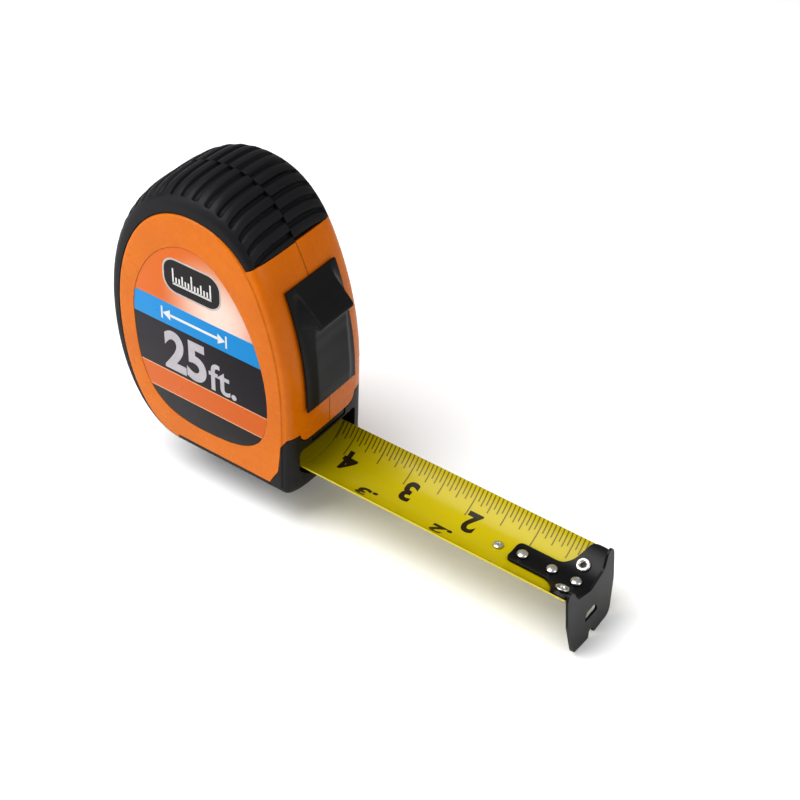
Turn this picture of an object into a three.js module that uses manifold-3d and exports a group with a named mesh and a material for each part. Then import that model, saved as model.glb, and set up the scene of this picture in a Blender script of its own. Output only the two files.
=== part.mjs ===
// Pocket tape measure, 25 ft, wide blade. Millimetres, +Z up, +X the way the blade runs out.
// The origin is on the flat base, under the drum's axis, in the seam plane of the two case halves.
import * as THREE from 'three';
import { mergeVertices } from 'three/addons/utils/BufferGeometryUtils.js';
import Module from 'manifold-3d';

const wasm = await Module();
wasm.setup();

// ---------------------------------------------------------------- driving dimensions
const GAP = 0.3; // air between neighbouring pieces that are fixed to each other
const RUN = 0.5; // air between pieces that move past each other

const CASE_LENGTH = 81;
const CASE_HEIGHT = 108;
const CASE_WIDTH = 42;
const SIDE_WALL = 2.6;
const FRONT_WALL = 2.5;
const SHELL_WALL = 2;
const FLOOR_WALL = 0.9;
const GRIP_THICKNESS = 3; // rubber over the crown and the back
const SOLE_THICKNESS = 1;
const SOLE_WIDTH = 34;
const NOSE_HEIGHT = 34; // the front is plumb up to here and leans back above it
const FRONT_RADIUS = 117;
const TOE_RADIUS = 2.5;
const FOOT_DEPTH = 9;
const FOOT_HEIGHT = 25.5;

const BLADE_CHORD = 28; // width across the curved blade
const BLADE_SAG = 6.8;
const BLADE_THICKNESS = 0.5;
const BLADE_EDGE_HEIGHT = 10.6;
const BLADE_OUT = 104.3; // from the mouth to the hook's inner face, so four inches and a little show
const MOUTH_CEILING = 18;

const DRUM_RADIUS = 20;
const DRUM_WALL = 1.6;
const COIL_RADIUS = 30.5;
const FLANGE_RADIUS = 31.5;
const FLANGE_THICKNESS = 1;
const AXLE_RADIUS = 4;
const AXLE_HEIGHT = 44;
const WASHER_RADIUS = 8;
const SPRING_TURNS = 7;
const SPRING_THICKNESS = 0.5;

const HOOK_THICKNESS = 0.9;
const TONGUE_LENGTH = 28.7;
const TONGUE_WIDTH = 9.6;
const HOOK_SHOULDER = 9; // length of the wide root that hugs the blade's curve
const HOOK_DROP = 25.6; // from the blade's edges down to the fang
const HOOK_RISE = 2.4; // how far the top corners stand above the blade's edges
const HOOK_OVERHANG = 0.6; // how far the flange is wider than the blade, each side
const HOOK_LEAN = 6; // degrees that the flange leans out
const HOOK_FLOAT = 1; // play that zeroes the blade for inside and outside measures
const RIVET_SHANK = 1.2;
const RIVET_HEAD = 2;
const RIVET_PROUD = 2.7; // the dome's height over the blade's upper surface
const RIVET_TAIL = 1.3; // the tail's depth under the same surface
const RIVET_FROM_FLANGE = [4.3, 13.5, 24.8];
const EYELET_BORE = 0.8;
const EYELET_SHANK = 1.5;
const EYELET_FLANGE = 2.5;
const EYELET_FROM_FLANGE = 5.7;
const HEAD_SPACING = 2.8; // clear steel between a rivet's head and an eyelet's flange
const BLADE_RIVET_FROM_FLANGE = 34.2;

const LOCK_WIDTH = 26;
const LOCK_BOTTOM = 34;
const LOCK_TOP = 79;
const LOCK_TRAVEL = 7.2;
const STEM_HEIGHT = 7;
const STEM_WIDTH = 10;
const STEM_BOTTOM = 50;
const PAD_FROM_FRONT = 11;
const PAD_DEPTH = 3.6;
const PAD_THICKNESS = 1.4;
const PAD_WIDTH = 11;
const STEM_REACH = 7; // how far the lock's stem stands in behind the front
const ARM_THICKNESS = 3.2;

const SCREW_SHANK = 1.2;
const SCREW_HEAD = 2.2;
const BOSS_RADIUS = 2.5;
const CLIP_WIDTH = 18;
const CLIP_LENGTH = 58;
const CLIP_THICKNESS = 1.2;
const CLIP_GAP = 4.6; // room for a belt between the clip and the case
const CLIP_TOP = 84;

// ---------------------------------------------------------------- derived places
const FRONT_X = 42.6;
const REAR_X = FRONT_X - CASE_LENGTH;
const HALF_WIDTH = CASE_WIDTH / 2;
const PANEL_Y = HALF_WIDTH - 0.4; // where the crown's curve meets the flat side panel
const BACK_HEIGHT = 0.44 * CASE_HEIGHT;
const CROWN_X = REAR_X + 0.5 * CASE_LENGTH;
const HEEL_X = REAR_X + 31;
const LOCK_CENTRE_X = FRONT_X - FRONT_RADIUS;
const GRIP_END = new THREE.Vector2(frontFaceX(CASE_HEIGHT - 19, 0) - 1.27, CASE_HEIGHT - 19);
const EDGE_INSET = { front: 4.2, rear: 7, top: 10, floor: 2.2 };
const CAVITY_FLOOR = SOLE_THICKNESS + GAP + FLOOR_WALL;
const BLADE_RADIUS = (BLADE_CHORD ** 2 / 4 + BLADE_SAG ** 2) / (2 * BLADE_SAG);
const BLADE_HALF_ANGLE = Math.asin(BLADE_CHORD / 2 / BLADE_RADIUS);
const BLADE_FLAT_WIDTH = 2 * BLADE_RADIUS * BLADE_HALF_ANGLE;
const BLADE_TOP = BLADE_EDGE_HEIGHT - BLADE_SAG; // upper surface along the blade's centre line
const BLADE_SPLIT_X = FRONT_X - 4;
const HOOK_X = FRONT_X + BLADE_OUT;
const HOOK_HALF_WIDTH = BLADE_CHORD / 2 + HOOK_OVERHANG;
const EYELET_SIDE = RIVET_HEAD + HEAD_SPACING + EYELET_FLANGE;
const COIL_HALF = BLADE_FLAT_WIDTH / 2;
const PAD_DROP = (LOCK_TRAVEL * (FRONT_RADIUS - PAD_FROM_FRONT)) / FRONT_RADIUS;
const PAD_LOW = BLADE_TOP + RIVET_PROUD + GAP + PAD_DROP; // clears the rivets when the lock is down
const ARM_LOW = PAD_LOW + PAD_THICKNESS + GAP;
const DRUM_HALF = COIL_HALF + GAP;
const CAVITY_HALF = HALF_WIDTH - SIDE_WALL;
const WASHER_THICKNESS = CAVITY_HALF - DRUM_HALF - FLANGE_THICKNESS - 2 * GAP;
const SCREW_PLACES = [
  [frontFaceX(CASE_HEIGHT - 25, 0) - 13.84, CASE_HEIGHT - 25],
  [REAR_X + 23.4, CASE_HEIGHT - 24],
  [REAR_X + 16.9, 16.5],
];

// ---------------------------------------------------------------- geometry helpers
// A closed BufferGeometry as a manifold solid, and a solid back as a geometry.
function solid(geometry) {
  const bare = geometry.index ? geometry.clone() : geometry;
  bare.deleteAttribute('normal');
  bare.deleteAttribute('uv');
  const merged = mergeVertices(bare, 1e-3);
  const mesh = new wasm.Mesh({
    numProp: 3,
    vertProperties: new Float32Array(merged.attributes.position.array),
    triVerts: new Uint32Array(merged.index.array),
  });
  return new wasm.Manifold(mesh);
}

function geometryOf(body) {
  const mesh = body.getMesh();
  const geometry = new THREE.BufferGeometry();
  geometry.setAttribute('position', new THREE.BufferAttribute(new Float32Array(mesh.vertProperties), 3));
  geometry.setIndex(new THREE.BufferAttribute(new Uint32Array(mesh.triVerts), 1));
  return geometry;
}

// Close cuts can leave slivers with no thickness, so a piece is the largest part of its solid.
function withoutSlivers(body) {
  const parts = solid(geometryOf(body.simplify(0.02))).decompose();
  return parts.reduce((best, part) => (part.volume() > best.volume() ? part : best));
}

// A prism: the outline's two coordinates run along axes u and v, the prism along u x v.
function prism(points, from, to, u, v) {
  const shape = new THREE.Shape(points.map(([a, b]) => new THREE.Vector2(a, b)));
  const geometry = new THREE.ExtrudeGeometry(shape, { depth: to - from, bevelEnabled: false });
  const w = new THREE.Vector3().crossVectors(u, v);
  geometry.translate(0, 0, from);
  geometry.applyMatrix4(new THREE.Matrix4().makeBasis(u, v, w));
  return solid(geometry);
}

const X_AXIS = new THREE.Vector3(1, 0, 0);
const Y_AXIS = new THREE.Vector3(0, 1, 0);
const Z_AXIS = new THREE.Vector3(0, 0, 1);

// An X-Z outline as a prism between two Y planes.
function acrossY(points, fromY, toY) {
  return prism(points, -toY, -fromY, X_AXIS, Z_AXIS);
}

// A Y-Z outline as a prism between two X planes.
function alongX(points, fromX, toX) {
  return prism(points, fromX, toX, Y_AXIS, Z_AXIS);
}

// An X-Y outline as a prism between two Z planes.
function upZ(points, fromZ, toZ) {
  return prism(points, fromZ, toZ, X_AXIS, Y_AXIS);
}

function box(x0, x1, y0, y1, z0, z1) {
  const geometry = new THREE.BoxGeometry(x1 - x0, y1 - y0, z1 - z0);
  geometry.translate((x0 + x1) / 2, (y0 + y1) / 2, (z0 + z1) / 2);
  return solid(geometry);
}

// A turned body about a Y axis through (x, z); the profile is [radius, y] pairs.
function turnedAboutY(profile, x = 0, z = 0, steps = 40) {
  const ring = profile.map(([r, y]) => new THREE.Vector2(r, y));
  const geometry = new THREE.LatheGeometry([...ring, ring[0]], steps);
  geometry.translate(x, 0, z);
  return solid(geometry);
}

function rodAlongY(radius, x, z, fromY, toY, steps = 20) {
  return turnedAboutY([[0, fromY], [radius, fromY], [radius, toY], [0, toY]], x, z, steps);
}

function tubeAlongY(inner, outer, fromY, toY, x = 0, z = 0, steps = 48) {
  return turnedAboutY([[inner, fromY], [outer, fromY], [outer, toY], [inner, toY]], x, z, steps);
}

// A skin through closed rings of equal count, capped at both ends.
function loft(rings) {
  const count = rings[0].length;
  const cap = THREE.ShapeUtils.triangulateShape(flatRing(rings[0]), []);
  const positions = rings.flat().flatMap((p) => [p.x, p.y, p.z]);
  const faces = [];
  for (let k = 0; k + 1 < rings.length; k += 1) {
    for (let i = 0; i < count; i += 1) {
      const a = k * count + i;
      const b = k * count + ((i + 1) % count);
      faces.push(a, b, a + count, b, b + count, a + count);
    }
  }
  const last = (rings.length - 1) * count;
  for (const [a, b, c] of cap) faces.push(a, c, b, last + a, last + b, last + c);
  const geometry = new THREE.BufferGeometry();
  geometry.setAttribute('position', new THREE.Float32BufferAttribute(positions, 3));
  geometry.setIndex(faces);
  const body = solid(geometry);
  return body.volume() < 0 ? solid(flipped(geometry)) : body;
}

// The ring seen along the axis it spans least.
function flatRing(ring) {
  const span = new THREE.Box3().setFromPoints(ring).getSize(new THREE.Vector3());
  if (span.x <= span.y && span.x <= span.z) return ring.map((p) => new THREE.Vector2(p.y, p.z));
  if (span.y <= span.z) return ring.map((p) => new THREE.Vector2(p.x, p.z));
  return ring.map((p) => new THREE.Vector2(p.x, p.y));
}

function flipped(geometry) {
  const copy = geometry.clone();
  const index = copy.index.array;
  for (let i = 0; i < index.length; i += 3) [index[i], index[i + 1]] = [index[i + 1], index[i]];
  return copy;
}

// ---------------------------------------------------------------- case outline
// The case seen from its side: flat base, plumb nose, leaning front, round crown and back.
// The insets draw the same figure smaller, for the rounded edges, the panels and the cavity.
function caseOutline({ front = 0, rear = 0, top = 0, floor = 0 } = {}) {
  const noseX = FRONT_X - front;
  const backX = REAR_X + rear;
  const crownZ = CASE_HEIGHT - top;
  const toe = Math.max(TOE_RADIUS - front / 2, 0.8);
  const radius = FRONT_RADIUS - front;
  const lean = Math.asin((GRIP_END.y - top * 0.8 - NOSE_HEIGHT) / FRONT_RADIUS);
  const tipX = LOCK_CENTRE_X + radius * Math.cos(lean);
  const tipZ = NOSE_HEIGHT + radius * Math.sin(lean);
  const rise = crownZ - tipZ;
  const path = new THREE.Path();
  path.moveTo(HEEL_X, floor);
  path.lineTo(noseX - toe, floor);
  path.quadraticCurveTo(noseX, floor, noseX, floor + toe);
  path.lineTo(noseX, NOSE_HEIGHT);
  path.absarc(LOCK_CENTRE_X, NOSE_HEIGHT, radius, 0, lean, false);
  path.bezierCurveTo(
    tipX - rise * 0.62 * Math.tan(lean), tipZ + rise * 0.62,
    CROWN_X + (tipX - CROWN_X) * 0.5, crownZ, CROWN_X, crownZ,
  );
  path.bezierCurveTo(
    CROWN_X + (backX - CROWN_X) * 0.6, crownZ,
    backX, BACK_HEIGHT + (crownZ - BACK_HEIGHT) * 0.56, backX, BACK_HEIGHT,
  );
  path.bezierCurveTo(
    backX, floor + (BACK_HEIGHT - floor) * 0.4,
    HEEL_X + (backX - HEEL_X) * 0.58, floor, HEEL_X, floor,
  );
  return path.getSpacedPoints(88).slice(0, -1).map((p) => [p.x, p.y]);
}

// How far the crown has rolled over at y: 0 at the seam, 1 where it meets the side panel.
function roll(y) {
  const share = Math.min(Math.abs(y) / PANEL_Y, 1);
  return 1 - (1 - share ** 3.2) ** (1 / 3.2);
}

function ringAt(y, extra, edge = roll(y)) {
  const insets = {};
  for (const side of Object.keys(EDGE_INSET)) insets[side] = EDGE_INSET[side] * edge + extra;
  return caseOutline(insets).map(([x, z]) => new THREE.Vector3(x, y, z));
}

// The whole outside of the case, both halves together, with its flat side panels.
function caseBody() {
  const shares = [0, 0.45, 0.66, 0.8, 0.9, 0.96, 1];
  const side = shares.map((share) => ringAt(share * PANEL_Y, 0));
  side.push(ringAt(HALF_WIDTH, 0.4, 1));
  const left = side.slice(1).reverse().map((ring) => ring.map((p) => new THREE.Vector3(p.x, -p.y, p.z)));
  return loft([...left, ...side]);
}

// What lies under the rubber: the case less the grip's thickness, and the raised side panels.
function gripBed(clearance) {
  const depth = GRIP_THICKNESS - clearance;
  const reach = PANEL_Y - 1.2 + clearance;
  const shares = [-1, -0.93, -0.84, -0.66, 0, 0.66, 0.84, 0.93, 1];
  const rows = shares.map((share) => ringAt(share * reach, depth));
  const panel = ringAt(0, -clearance - 0.2, 1).map((p) => [p.x, p.z]);
  return loft(rows).add(acrossY(panel, -HALF_WIDTH - 1, HALF_WIDTH + 1));
}

// The part of the side view that the rubber covers, from the forehead over the crown to the heel.
function gripZone(shrink) {
  const lean = Math.asin((GRIP_END.y - NOSE_HEIGHT) / FRONT_RADIUS);
  const out = new THREE.Vector2(Math.cos(lean), Math.sin(lean));
  const start = GRIP_END.clone().add(new THREE.Vector2(-out.y, out.x).multiplyScalar(shrink));
  const inner = start.clone().addScaledVector(out, -16);
  const outer = start.clone().addScaledVector(out, 16);
  const far = 30;
  return acrossY([
    [inner.x, inner.y], [outer.x, outer.y],
    [outer.x, CASE_HEIGHT + far], [REAR_X - far, CASE_HEIGHT + far],
    [REAR_X - far, -far], [HEEL_X - shrink, -far], [HEEL_X - shrink, BACK_HEIGHT],
  ], -CASE_WIDTH, CASE_WIDTH);
}

// The black foot's share of the side view, round the mouth of the case.
function footZone(grow) {
  const back = FRONT_X - FOOT_DEPTH - grow;
  return acrossY([
    [back, -5], [FRONT_X + 5, -5],
    [FRONT_X + 5, FOOT_HEIGHT + grow], [FRONT_X - 2.4, FOOT_HEIGHT - 0.6 + grow],
    [FRONT_X - 4.4 - grow, FOOT_HEIGHT - 4], [FRONT_X - 4.8 - grow, 16], [FRONT_X - 5.6 - grow, 10],
    [back, 4],
  ], -CASE_WIDTH, CASE_WIDTH);
}

function leftOf(body) {
  return body.intersect(box(-200, 200, -60, -GAP / 2, -60, 200));
}

function rightOf(body) {
  return body.intersect(box(-200, 200, GAP / 2, 60, -60, 200));
}

// ---------------------------------------------------------------- blade
// Cross-section of the blade as it curls: flatness 0 is the full curve, 1 is nearly flat.
function bladeSection(flatness, lift, drop = BLADE_THICKNESS) {
  const angle = BLADE_HALF_ANGLE * (1 - 0.97 * flatness);
  const radius = BLADE_FLAT_WIDTH / 2 / angle;
  const steps = 12;
  const upper = [];
  const lower = [];
  for (let i = 0; i <= steps; i += 1) {
    const a = angle * ((2 * i) / steps - 1);
    upper.push([radius * Math.sin(a), lift + radius * (1 - Math.cos(a))]);
    lower.push([(radius + drop) * Math.sin(a), lift + radius - (radius + drop) * Math.cos(a)]);
  }
  return [...lower, ...upper.reverse()];
}

const COIL_BOTTOM = AXLE_HEIGHT - COIL_RADIUS;

// Height of the blade's upper surface over (x, y), where the blade is fully curved.
function bladeHeight(y) {
  return BLADE_TOP + BLADE_RADIUS - Math.sqrt(BLADE_RADIUS ** 2 - y ** 2);
}

function roundHole(radius, x, y, steps = 16) {
  const geometry = new THREE.CylinderGeometry(radius, radius, 60, steps);
  geometry.rotateX(Math.PI / 2);
  geometry.translate(x, y, BLADE_TOP);
  return solid(geometry);
}

function makeBlade() {
  const strip = alongX(bladeSection(0, BLADE_TOP), BLADE_SPLIT_X, HOOK_X - 0.4);
  const holes = RIVET_FROM_FLANGE.map((x) => roundHole(RIVET_SHANK + GAP, HOOK_X - x, 0));
  holes.push(roundHole(RIVET_SHANK + GAP, HOOK_X - BLADE_RIVET_FROM_FLANGE, 0));
  for (const side of [-1, 1]) {
    holes.push(tiltedRod(EYELET_SHANK + GAP, -6, 6, HOOK_X - EYELET_FROM_FLANGE, side * EYELET_SIDE));
  }
  return holes.reduce((body, hole) => body.subtract(hole), strip);
}

// The hidden run behind the mouth: it rises, and flattens, to meet the coil from below.
function makeInnerRun() {
  const start = BLADE_SPLIT_X - GAP;
  const rings = [];
  for (let i = 0; i <= 12; i += 1) {
    const x = start * (1 - i / 12);
    const t = Math.min(Math.max((start - 6 - x) / (start - 6), 0), 1);
    const ease = t * t * (3 - 2 * t);
    const lift = BLADE_TOP + (COIL_BOTTOM - GAP - BLADE_TOP) * ease;
    rings.push(bladeSection(ease, lift).map(([y, z]) => new THREE.Vector3(x, y, z)));
  }
  return loft(rings);
}

function makeCoil() {
  return tubeAlongY(DRUM_RADIUS + GAP, COIL_RADIUS, -COIL_HALF, COIL_HALF, 0, AXLE_HEIGHT, 56);
}

// ---------------------------------------------------------------- hook and its fixings
// A rod square to the blade's surface at (x, y), from low to high along that normal.
function tiltedRod(radius, low, high, x, y, steps = 16) {
  const geometry = new THREE.CylinderGeometry(radius, radius, high - low, steps);
  geometry.rotateX(Math.PI / 2);
  geometry.translate(0, 0, (low + high) / 2);
  geometry.rotateX(Math.asin(y / BLADE_RADIUS));
  geometry.translate(x, y, bladeHeight(y));
  return solid(geometry);
}

// The hook: a tongue on top of the blade, a shoulder that hugs its curve, and the flange.
function makeHook() {
  const lift = BLADE_TOP + GAP;
  const shell = bladeSection(0, lift, 0).slice(0, 13);
  const upper = shell.map(([y, z]) => {
    const a = Math.asin(y / BLADE_RADIUS);
    return [y - HOOK_THICKNESS * Math.sin(a), z + HOOK_THICKNESS * Math.cos(a)];
  });
  const hug = alongX([...shell, ...upper.reverse()], HOOK_X - TONGUE_LENGTH, HOOK_X + 0.4);
  const half = TONGUE_WIDTH / 2;
  const wide = BLADE_CHORD / 2 + 0.5;
  const tail = HOOK_X - TONGUE_LENGTH;
  const shoulder = HOOK_X - HOOK_SHOULDER;
  const plan = upZ([
    [tail + 1.5, -half], [shoulder - 3.5, -half], [shoulder - 0.8, -half - 3], [shoulder + 2.8, -wide],
    [HOOK_X + 1, -wide], [HOOK_X + 1, wide], [shoulder + 2.8, wide], [shoulder - 0.8, half + 3],
    [shoulder - 3.5, half], [tail + 1.5, half], [tail, half - 1.5], [tail, 1.5 - half],
  ], -10, 40);
  const top = BLADE_EDGE_HEIGHT + HOOK_RISE;
  const low = BLADE_EDGE_HEIGHT - HOOK_DROP;
  const w = HOOK_HALF_WIDTH;
  const face = alongX([
    [4 - w, low + 0.6], [-1.6, low], [-1.3, low + 2.8], [1.3, low + 2.8], [1.6, low], [w - 4, low + 0.6],
    [w - 2.4, low + 2.4], [w, BLADE_EDGE_HEIGHT - 11], [w, top - 2.5], [w - 1.6, top], [w - 4, top - 0.8],
    [8.4, BLADE_EDGE_HEIGHT - 3.2], [0, BLADE_TOP + GAP + 0.7], [-8.4, BLADE_EDGE_HEIGHT - 3.2],
    [4 - w, top - 0.8], [1.6 - w, top], [-w, top - 2.5], [-w, BLADE_EDGE_HEIGHT - 11], [2.4 - w, low + 2.4],
  ], 0, HOOK_THICKNESS);
  const slot = box(-5, 5, -4.2, 4.2, BLADE_EDGE_HEIGHT - 17, BLADE_EDGE_HEIGHT - 13.4);
  const leaning = face.subtract(slot).translate([0, 0, -BLADE_EDGE_HEIGHT])
    .rotate([0, -HOOK_LEAN, 0]).translate([HOOK_X, 0, BLADE_EDGE_HEIGHT]);
  let hook = hug.intersect(plan).add(leaning);
  for (const x of RIVET_FROM_FLANGE) {
    hook = hook.subtract(floatSlot(RIVET_SHANK + GAP, HOOK_X - x, 0));
  }
  for (const side of [-1, 1]) {
    hook = hook.subtract(floatSlot(EYELET_SHANK + GAP, HOOK_X - EYELET_FROM_FLANGE, side * EYELET_SIDE));
  }
  return hook;
}

// A hole through the hook, stretched back along X so that the hook can float out.
function floatSlot(radius, x, y) {
  const front = tiltedRod(radius, -0.1, 6, x, y);
  const back = tiltedRod(radius, -0.1, 6, x - HOOK_FLOAT, y);
  return wasm.Manifold.hull([front, back]);
}

function makeRivet(x) {
  const profile = [
    [0, -RIVET_TAIL], [1.9, -RIVET_TAIL], [2.1, -1], [2.1, -0.8], [RIVET_SHANK, -0.8], [RIVET_SHANK, 1.5],
    [RIVET_HEAD, 1.5], [RIVET_HEAD, 1.9], [1.5, RIVET_PROUD - 0.2], [0, RIVET_PROUD],
  ];
  return uprightTurned(profile, x, BLADE_TOP);
}

function makeBladeRivet() {
  const profile = [
    [0, -1.4], [1.8, -1.4], [1.8, -0.8], [RIVET_SHANK, -0.8], [RIVET_SHANK, 0.3],
    [1.8, 0.3], [1.8, 0.7], [1.2, 1], [0, 1.1],
  ];
  return uprightTurned(profile, HOOK_X - BLADE_RIVET_FROM_FLANGE, BLADE_TOP);
}

// A turned body about an upright axis; the profile is [radius, z] pairs.
function uprightTurned(profile, x, z, steps = 20) {
  const ring = profile.map(([r, h]) => new THREE.Vector2(r, h));
  const geometry = new THREE.LatheGeometry([...ring, ring[0]], steps);
  geometry.rotateX(Math.PI / 2);
  geometry.translate(x, 0, z);
  return solid(geometry);
}

// A hollow rivet set into the curved side of the blade, square to its surface.
function makeEyelet(side) {
  const ring = [
    [EYELET_BORE, -1.5], [2.3, -1.5], [2.3, -0.9], [EYELET_SHANK, -0.9], [EYELET_SHANK, 1.5],
    [EYELET_FLANGE, 1.5], [2.3, 2.1], [1.7, 2.3], [EYELET_BORE, 1.9], [EYELET_BORE, -1.5],
  ].map(([r, h]) => new THREE.Vector2(r, h));
  const geometry = new THREE.LatheGeometry(ring, 20);
  geometry.rotateX(Math.PI / 2);
  geometry.rotateX(Math.asin((side * EYELET_SIDE) / BLADE_RADIUS));
  geometry.translate(HOOK_X - EYELET_FROM_FLANGE, side * EYELET_SIDE, bladeHeight(EYELET_SIDE));
  return solid(geometry);
}

// ---------------------------------------------------------------- lock
// The front face at height z, as an arc about the lock's centre, grown outwards by out.
function frontFaceX(z, out) {
  return LOCK_CENTRE_X + Math.sqrt((FRONT_RADIUS + out) ** 2 - (z - NOSE_HEIGHT) ** 2);
}

// The thumb lock: a plate that slides on the front face, with a ridge and a scooped lower face.
function makeLockButton() {
  const heights = [0, 0.06, 0.2, 0.36, 0.52, 0.62, 0.68, 0.71, 0.735, 0.76, 0.84, 0.92, 1];
  const proud = [1.2, 2.6, 2.2, 1.9, 3, 4.6, 5.8, 6.2, 9.6, 10, 6.6, 3.6, 1.1];
  const heightAt = (share) => LOCK_BOTTOM + GAP + (LOCK_TOP - LOCK_BOTTOM - GAP) * share;
  const ring = (y, swell) => {
    const inner = heights.map((share) => [frontFaceX(heightAt(share), 0.4), heightAt(share)]);
    const outer = heights.map((share, i) => {
      const out = 1.1 + (proud[i] * 0.8 - 1.1) * swell;
      return [frontFaceX(heightAt(share), Math.max(out, 1)), heightAt(share)];
    });
    return [...outer, ...inner.reverse()].map(([x, z]) => new THREE.Vector3(x, y, z));
  };
  const half = LOCK_WIDTH / 2;
  const rows = [[-half, 0], [0.5 - half, 0.12], [-8.6, 1], [8.6, 1], [half - 0.5, 0.12], [half, 0]];
  const plate = loft(rows.map(([y, swell]) => ring(y, swell)));
  const stem = box(
    FRONT_X - STEM_REACH, frontFaceX(STEM_BOTTOM, 0.8), -STEM_WIDTH / 2, STEM_WIDTH / 2,
    STEM_BOTTOM, STEM_BOTTOM + STEM_HEIGHT,
  );
  return plate.add(stem);
}

// The arm carries the thumb's push down behind the front wall to the pad over the blade.
function makeBrakeArm() {
  const upper = FRONT_X - STEM_REACH - GAP;
  const top = STEM_BOTTOM + STEM_HEIGHT;
  const front = FRONT_X - PAD_FROM_FRONT;
  return acrossY([
    [upper, 33], [upper, top], [upper - ARM_THICKNESS, top], [upper - ARM_THICKNESS, 36],
    [front - PAD_DEPTH, 31], [front - PAD_DEPTH, ARM_LOW], [front, ARM_LOW], [front, 28],
  ], -STEM_WIDTH / 2, STEM_WIDTH / 2);
}

function makeBrakePad() {
  const front = FRONT_X - PAD_FROM_FRONT;
  return box(front - PAD_DEPTH, front, -PAD_WIDTH / 2, PAD_WIDTH / 2, PAD_LOW, PAD_LOW + PAD_THICKNESS);
}

// ---------------------------------------------------------------- drum and spring
function makeDrum() {
  const out = DRUM_HALF + FLANGE_THICKNESS;
  const profile = [
    [AXLE_RADIUS + GAP, -out], [FLANGE_RADIUS, -out], [FLANGE_RADIUS, -DRUM_HALF], [DRUM_RADIUS, -DRUM_HALF],
    [DRUM_RADIUS, DRUM_HALF - GAP], [DRUM_RADIUS - DRUM_WALL, DRUM_HALF - GAP],
    [DRUM_RADIUS - DRUM_WALL, -DRUM_HALF + 0.2], [AXLE_RADIUS + GAP, -DRUM_HALF + 0.2],
  ];
  return turnedAboutY(profile, 0, AXLE_HEIGHT, 56);
}

function makeDrumCover() {
  const far = DRUM_HALF + FLANGE_THICKNESS;
  return tubeAlongY(AXLE_RADIUS + GAP, FLANGE_RADIUS, DRUM_HALF, far, 0, AXLE_HEIGHT, 56);
}

// A flat spring wound from the axle out to the drum's wall.
function makeMainspring() {
  const first = AXLE_RADIUS + 0.8;
  const last = DRUM_RADIUS - DRUM_WALL - SPRING_THICKNESS - GAP;
  const steps = SPRING_TURNS * 20;
  const inner = [];
  const outer = [];
  for (let i = 0; i <= steps; i += 1) {
    const angle = (i / 20) * 2 * Math.PI;
    const r = first + (last - first) * (i / steps);
    inner.push([r * Math.cos(angle), AXLE_HEIGHT + r * Math.sin(angle)]);
    const far = r + SPRING_THICKNESS;
    outer.push([far * Math.cos(angle), AXLE_HEIGHT + far * Math.sin(angle)]);
  }
  return acrossY([...outer, ...inner.reverse()], 1 - COIL_HALF, COIL_HALF - 1);
}

function makeAxlePost() {
  const end = CAVITY_HALF - GAP;
  const post = rodAlongY(AXLE_RADIUS, 0, AXLE_HEIGHT, -end, end, 24);
  return post.subtract(box(-0.5, 0.5, 1 - COIL_HALF, end + 1, AXLE_HEIGHT - 5, AXLE_HEIGHT + 5));
}

function makeWasher(side) {
  const near = DRUM_HALF + FLANGE_THICKNESS + GAP;
  const ends = [side * near, side * (near + WASHER_THICKNESS)].sort((a, b) => a - b);
  return tubeAlongY(AXLE_RADIUS + GAP, WASHER_RADIUS, ends[0], ends[1], 0, AXLE_HEIGHT, 28);
}

// ---------------------------------------------------------------- case halves, grips and foot
// The hollow of the case, with the openings that the lock's stem passes through.
function caseCavity() {
  const insets = {
    front: FRONT_WALL,
    rear: GRIP_THICKNESS + SHELL_WALL,
    top: GRIP_THICKNESS + SHELL_WALL,
    floor: CAVITY_FLOOR,
  };
  const deep = caseOutline(insets);
  const shallow = caseOutline({ ...insets, rear: insets.rear + 1.1, top: insets.top + 4 });
  const ring = (points, y) => points.map(([x, z]) => new THREE.Vector3(x, y, z));
  const bend = 0.72 * CAVITY_HALF;
  const hollow = loft([
    ring(shallow, -CAVITY_HALF), ring(deep, -bend), ring(deep, bend), ring(shallow, CAVITY_HALF),
  ]);
  const stemHalf = STEM_WIDTH / 2 + RUN;
  return hollow.add(box(
    FRONT_X - 12, FRONT_X + 6, -stemHalf, stemHalf,
    STEM_BOTTOM - LOCK_TRAVEL - 2 * RUN, STEM_BOTTOM + STEM_HEIGHT + RUN,
  ));
}

// The label's outline: a rounded foot under a tall arch.
function labelOutline(grow) {
  const low = 11.5 - grow;
  const high = CASE_HEIGHT - 22 + grow;
  const front = FRONT_X - 10.2 + grow;
  const rear = REAR_X + 13.7 - grow;
  const middle = (front + rear) / 2;
  const path = new THREE.Path();
  path.moveTo(middle, low);
  path.bezierCurveTo(front - 9, low, front, 16, front, 34);
  path.bezierCurveTo(front, 60, middle + 12, high, middle - 2, high);
  path.bezierCurveTo(middle - 16, high, rear, 69, rear, 51);
  path.bezierCurveTo(rear, 21, rear + 8, low, middle, low);
  return path.getPoints(14).slice(0, -1).map((p) => [p.x, p.y]);
}

function gripGrooves(side) {
  const outline = caseOutline();
  const tools = [];
  const first = side < 0 ? 29 : 30;
  for (let i = first; i < first + 24; i += 2) {
    const [x0, z0] = outline[i];
    const [x1, z1] = outline[i + 1];
    const angle = Math.atan2(z1 - z0, x1 - x0);
    const bar = new THREE.BoxGeometry(1.7, 15.4, 2.4);
    bar.rotateY(-angle);
    bar.translate(x0, side * 8.9, z0);
    tools.push(solid(bar));
  }
  return tools;
}

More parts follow.
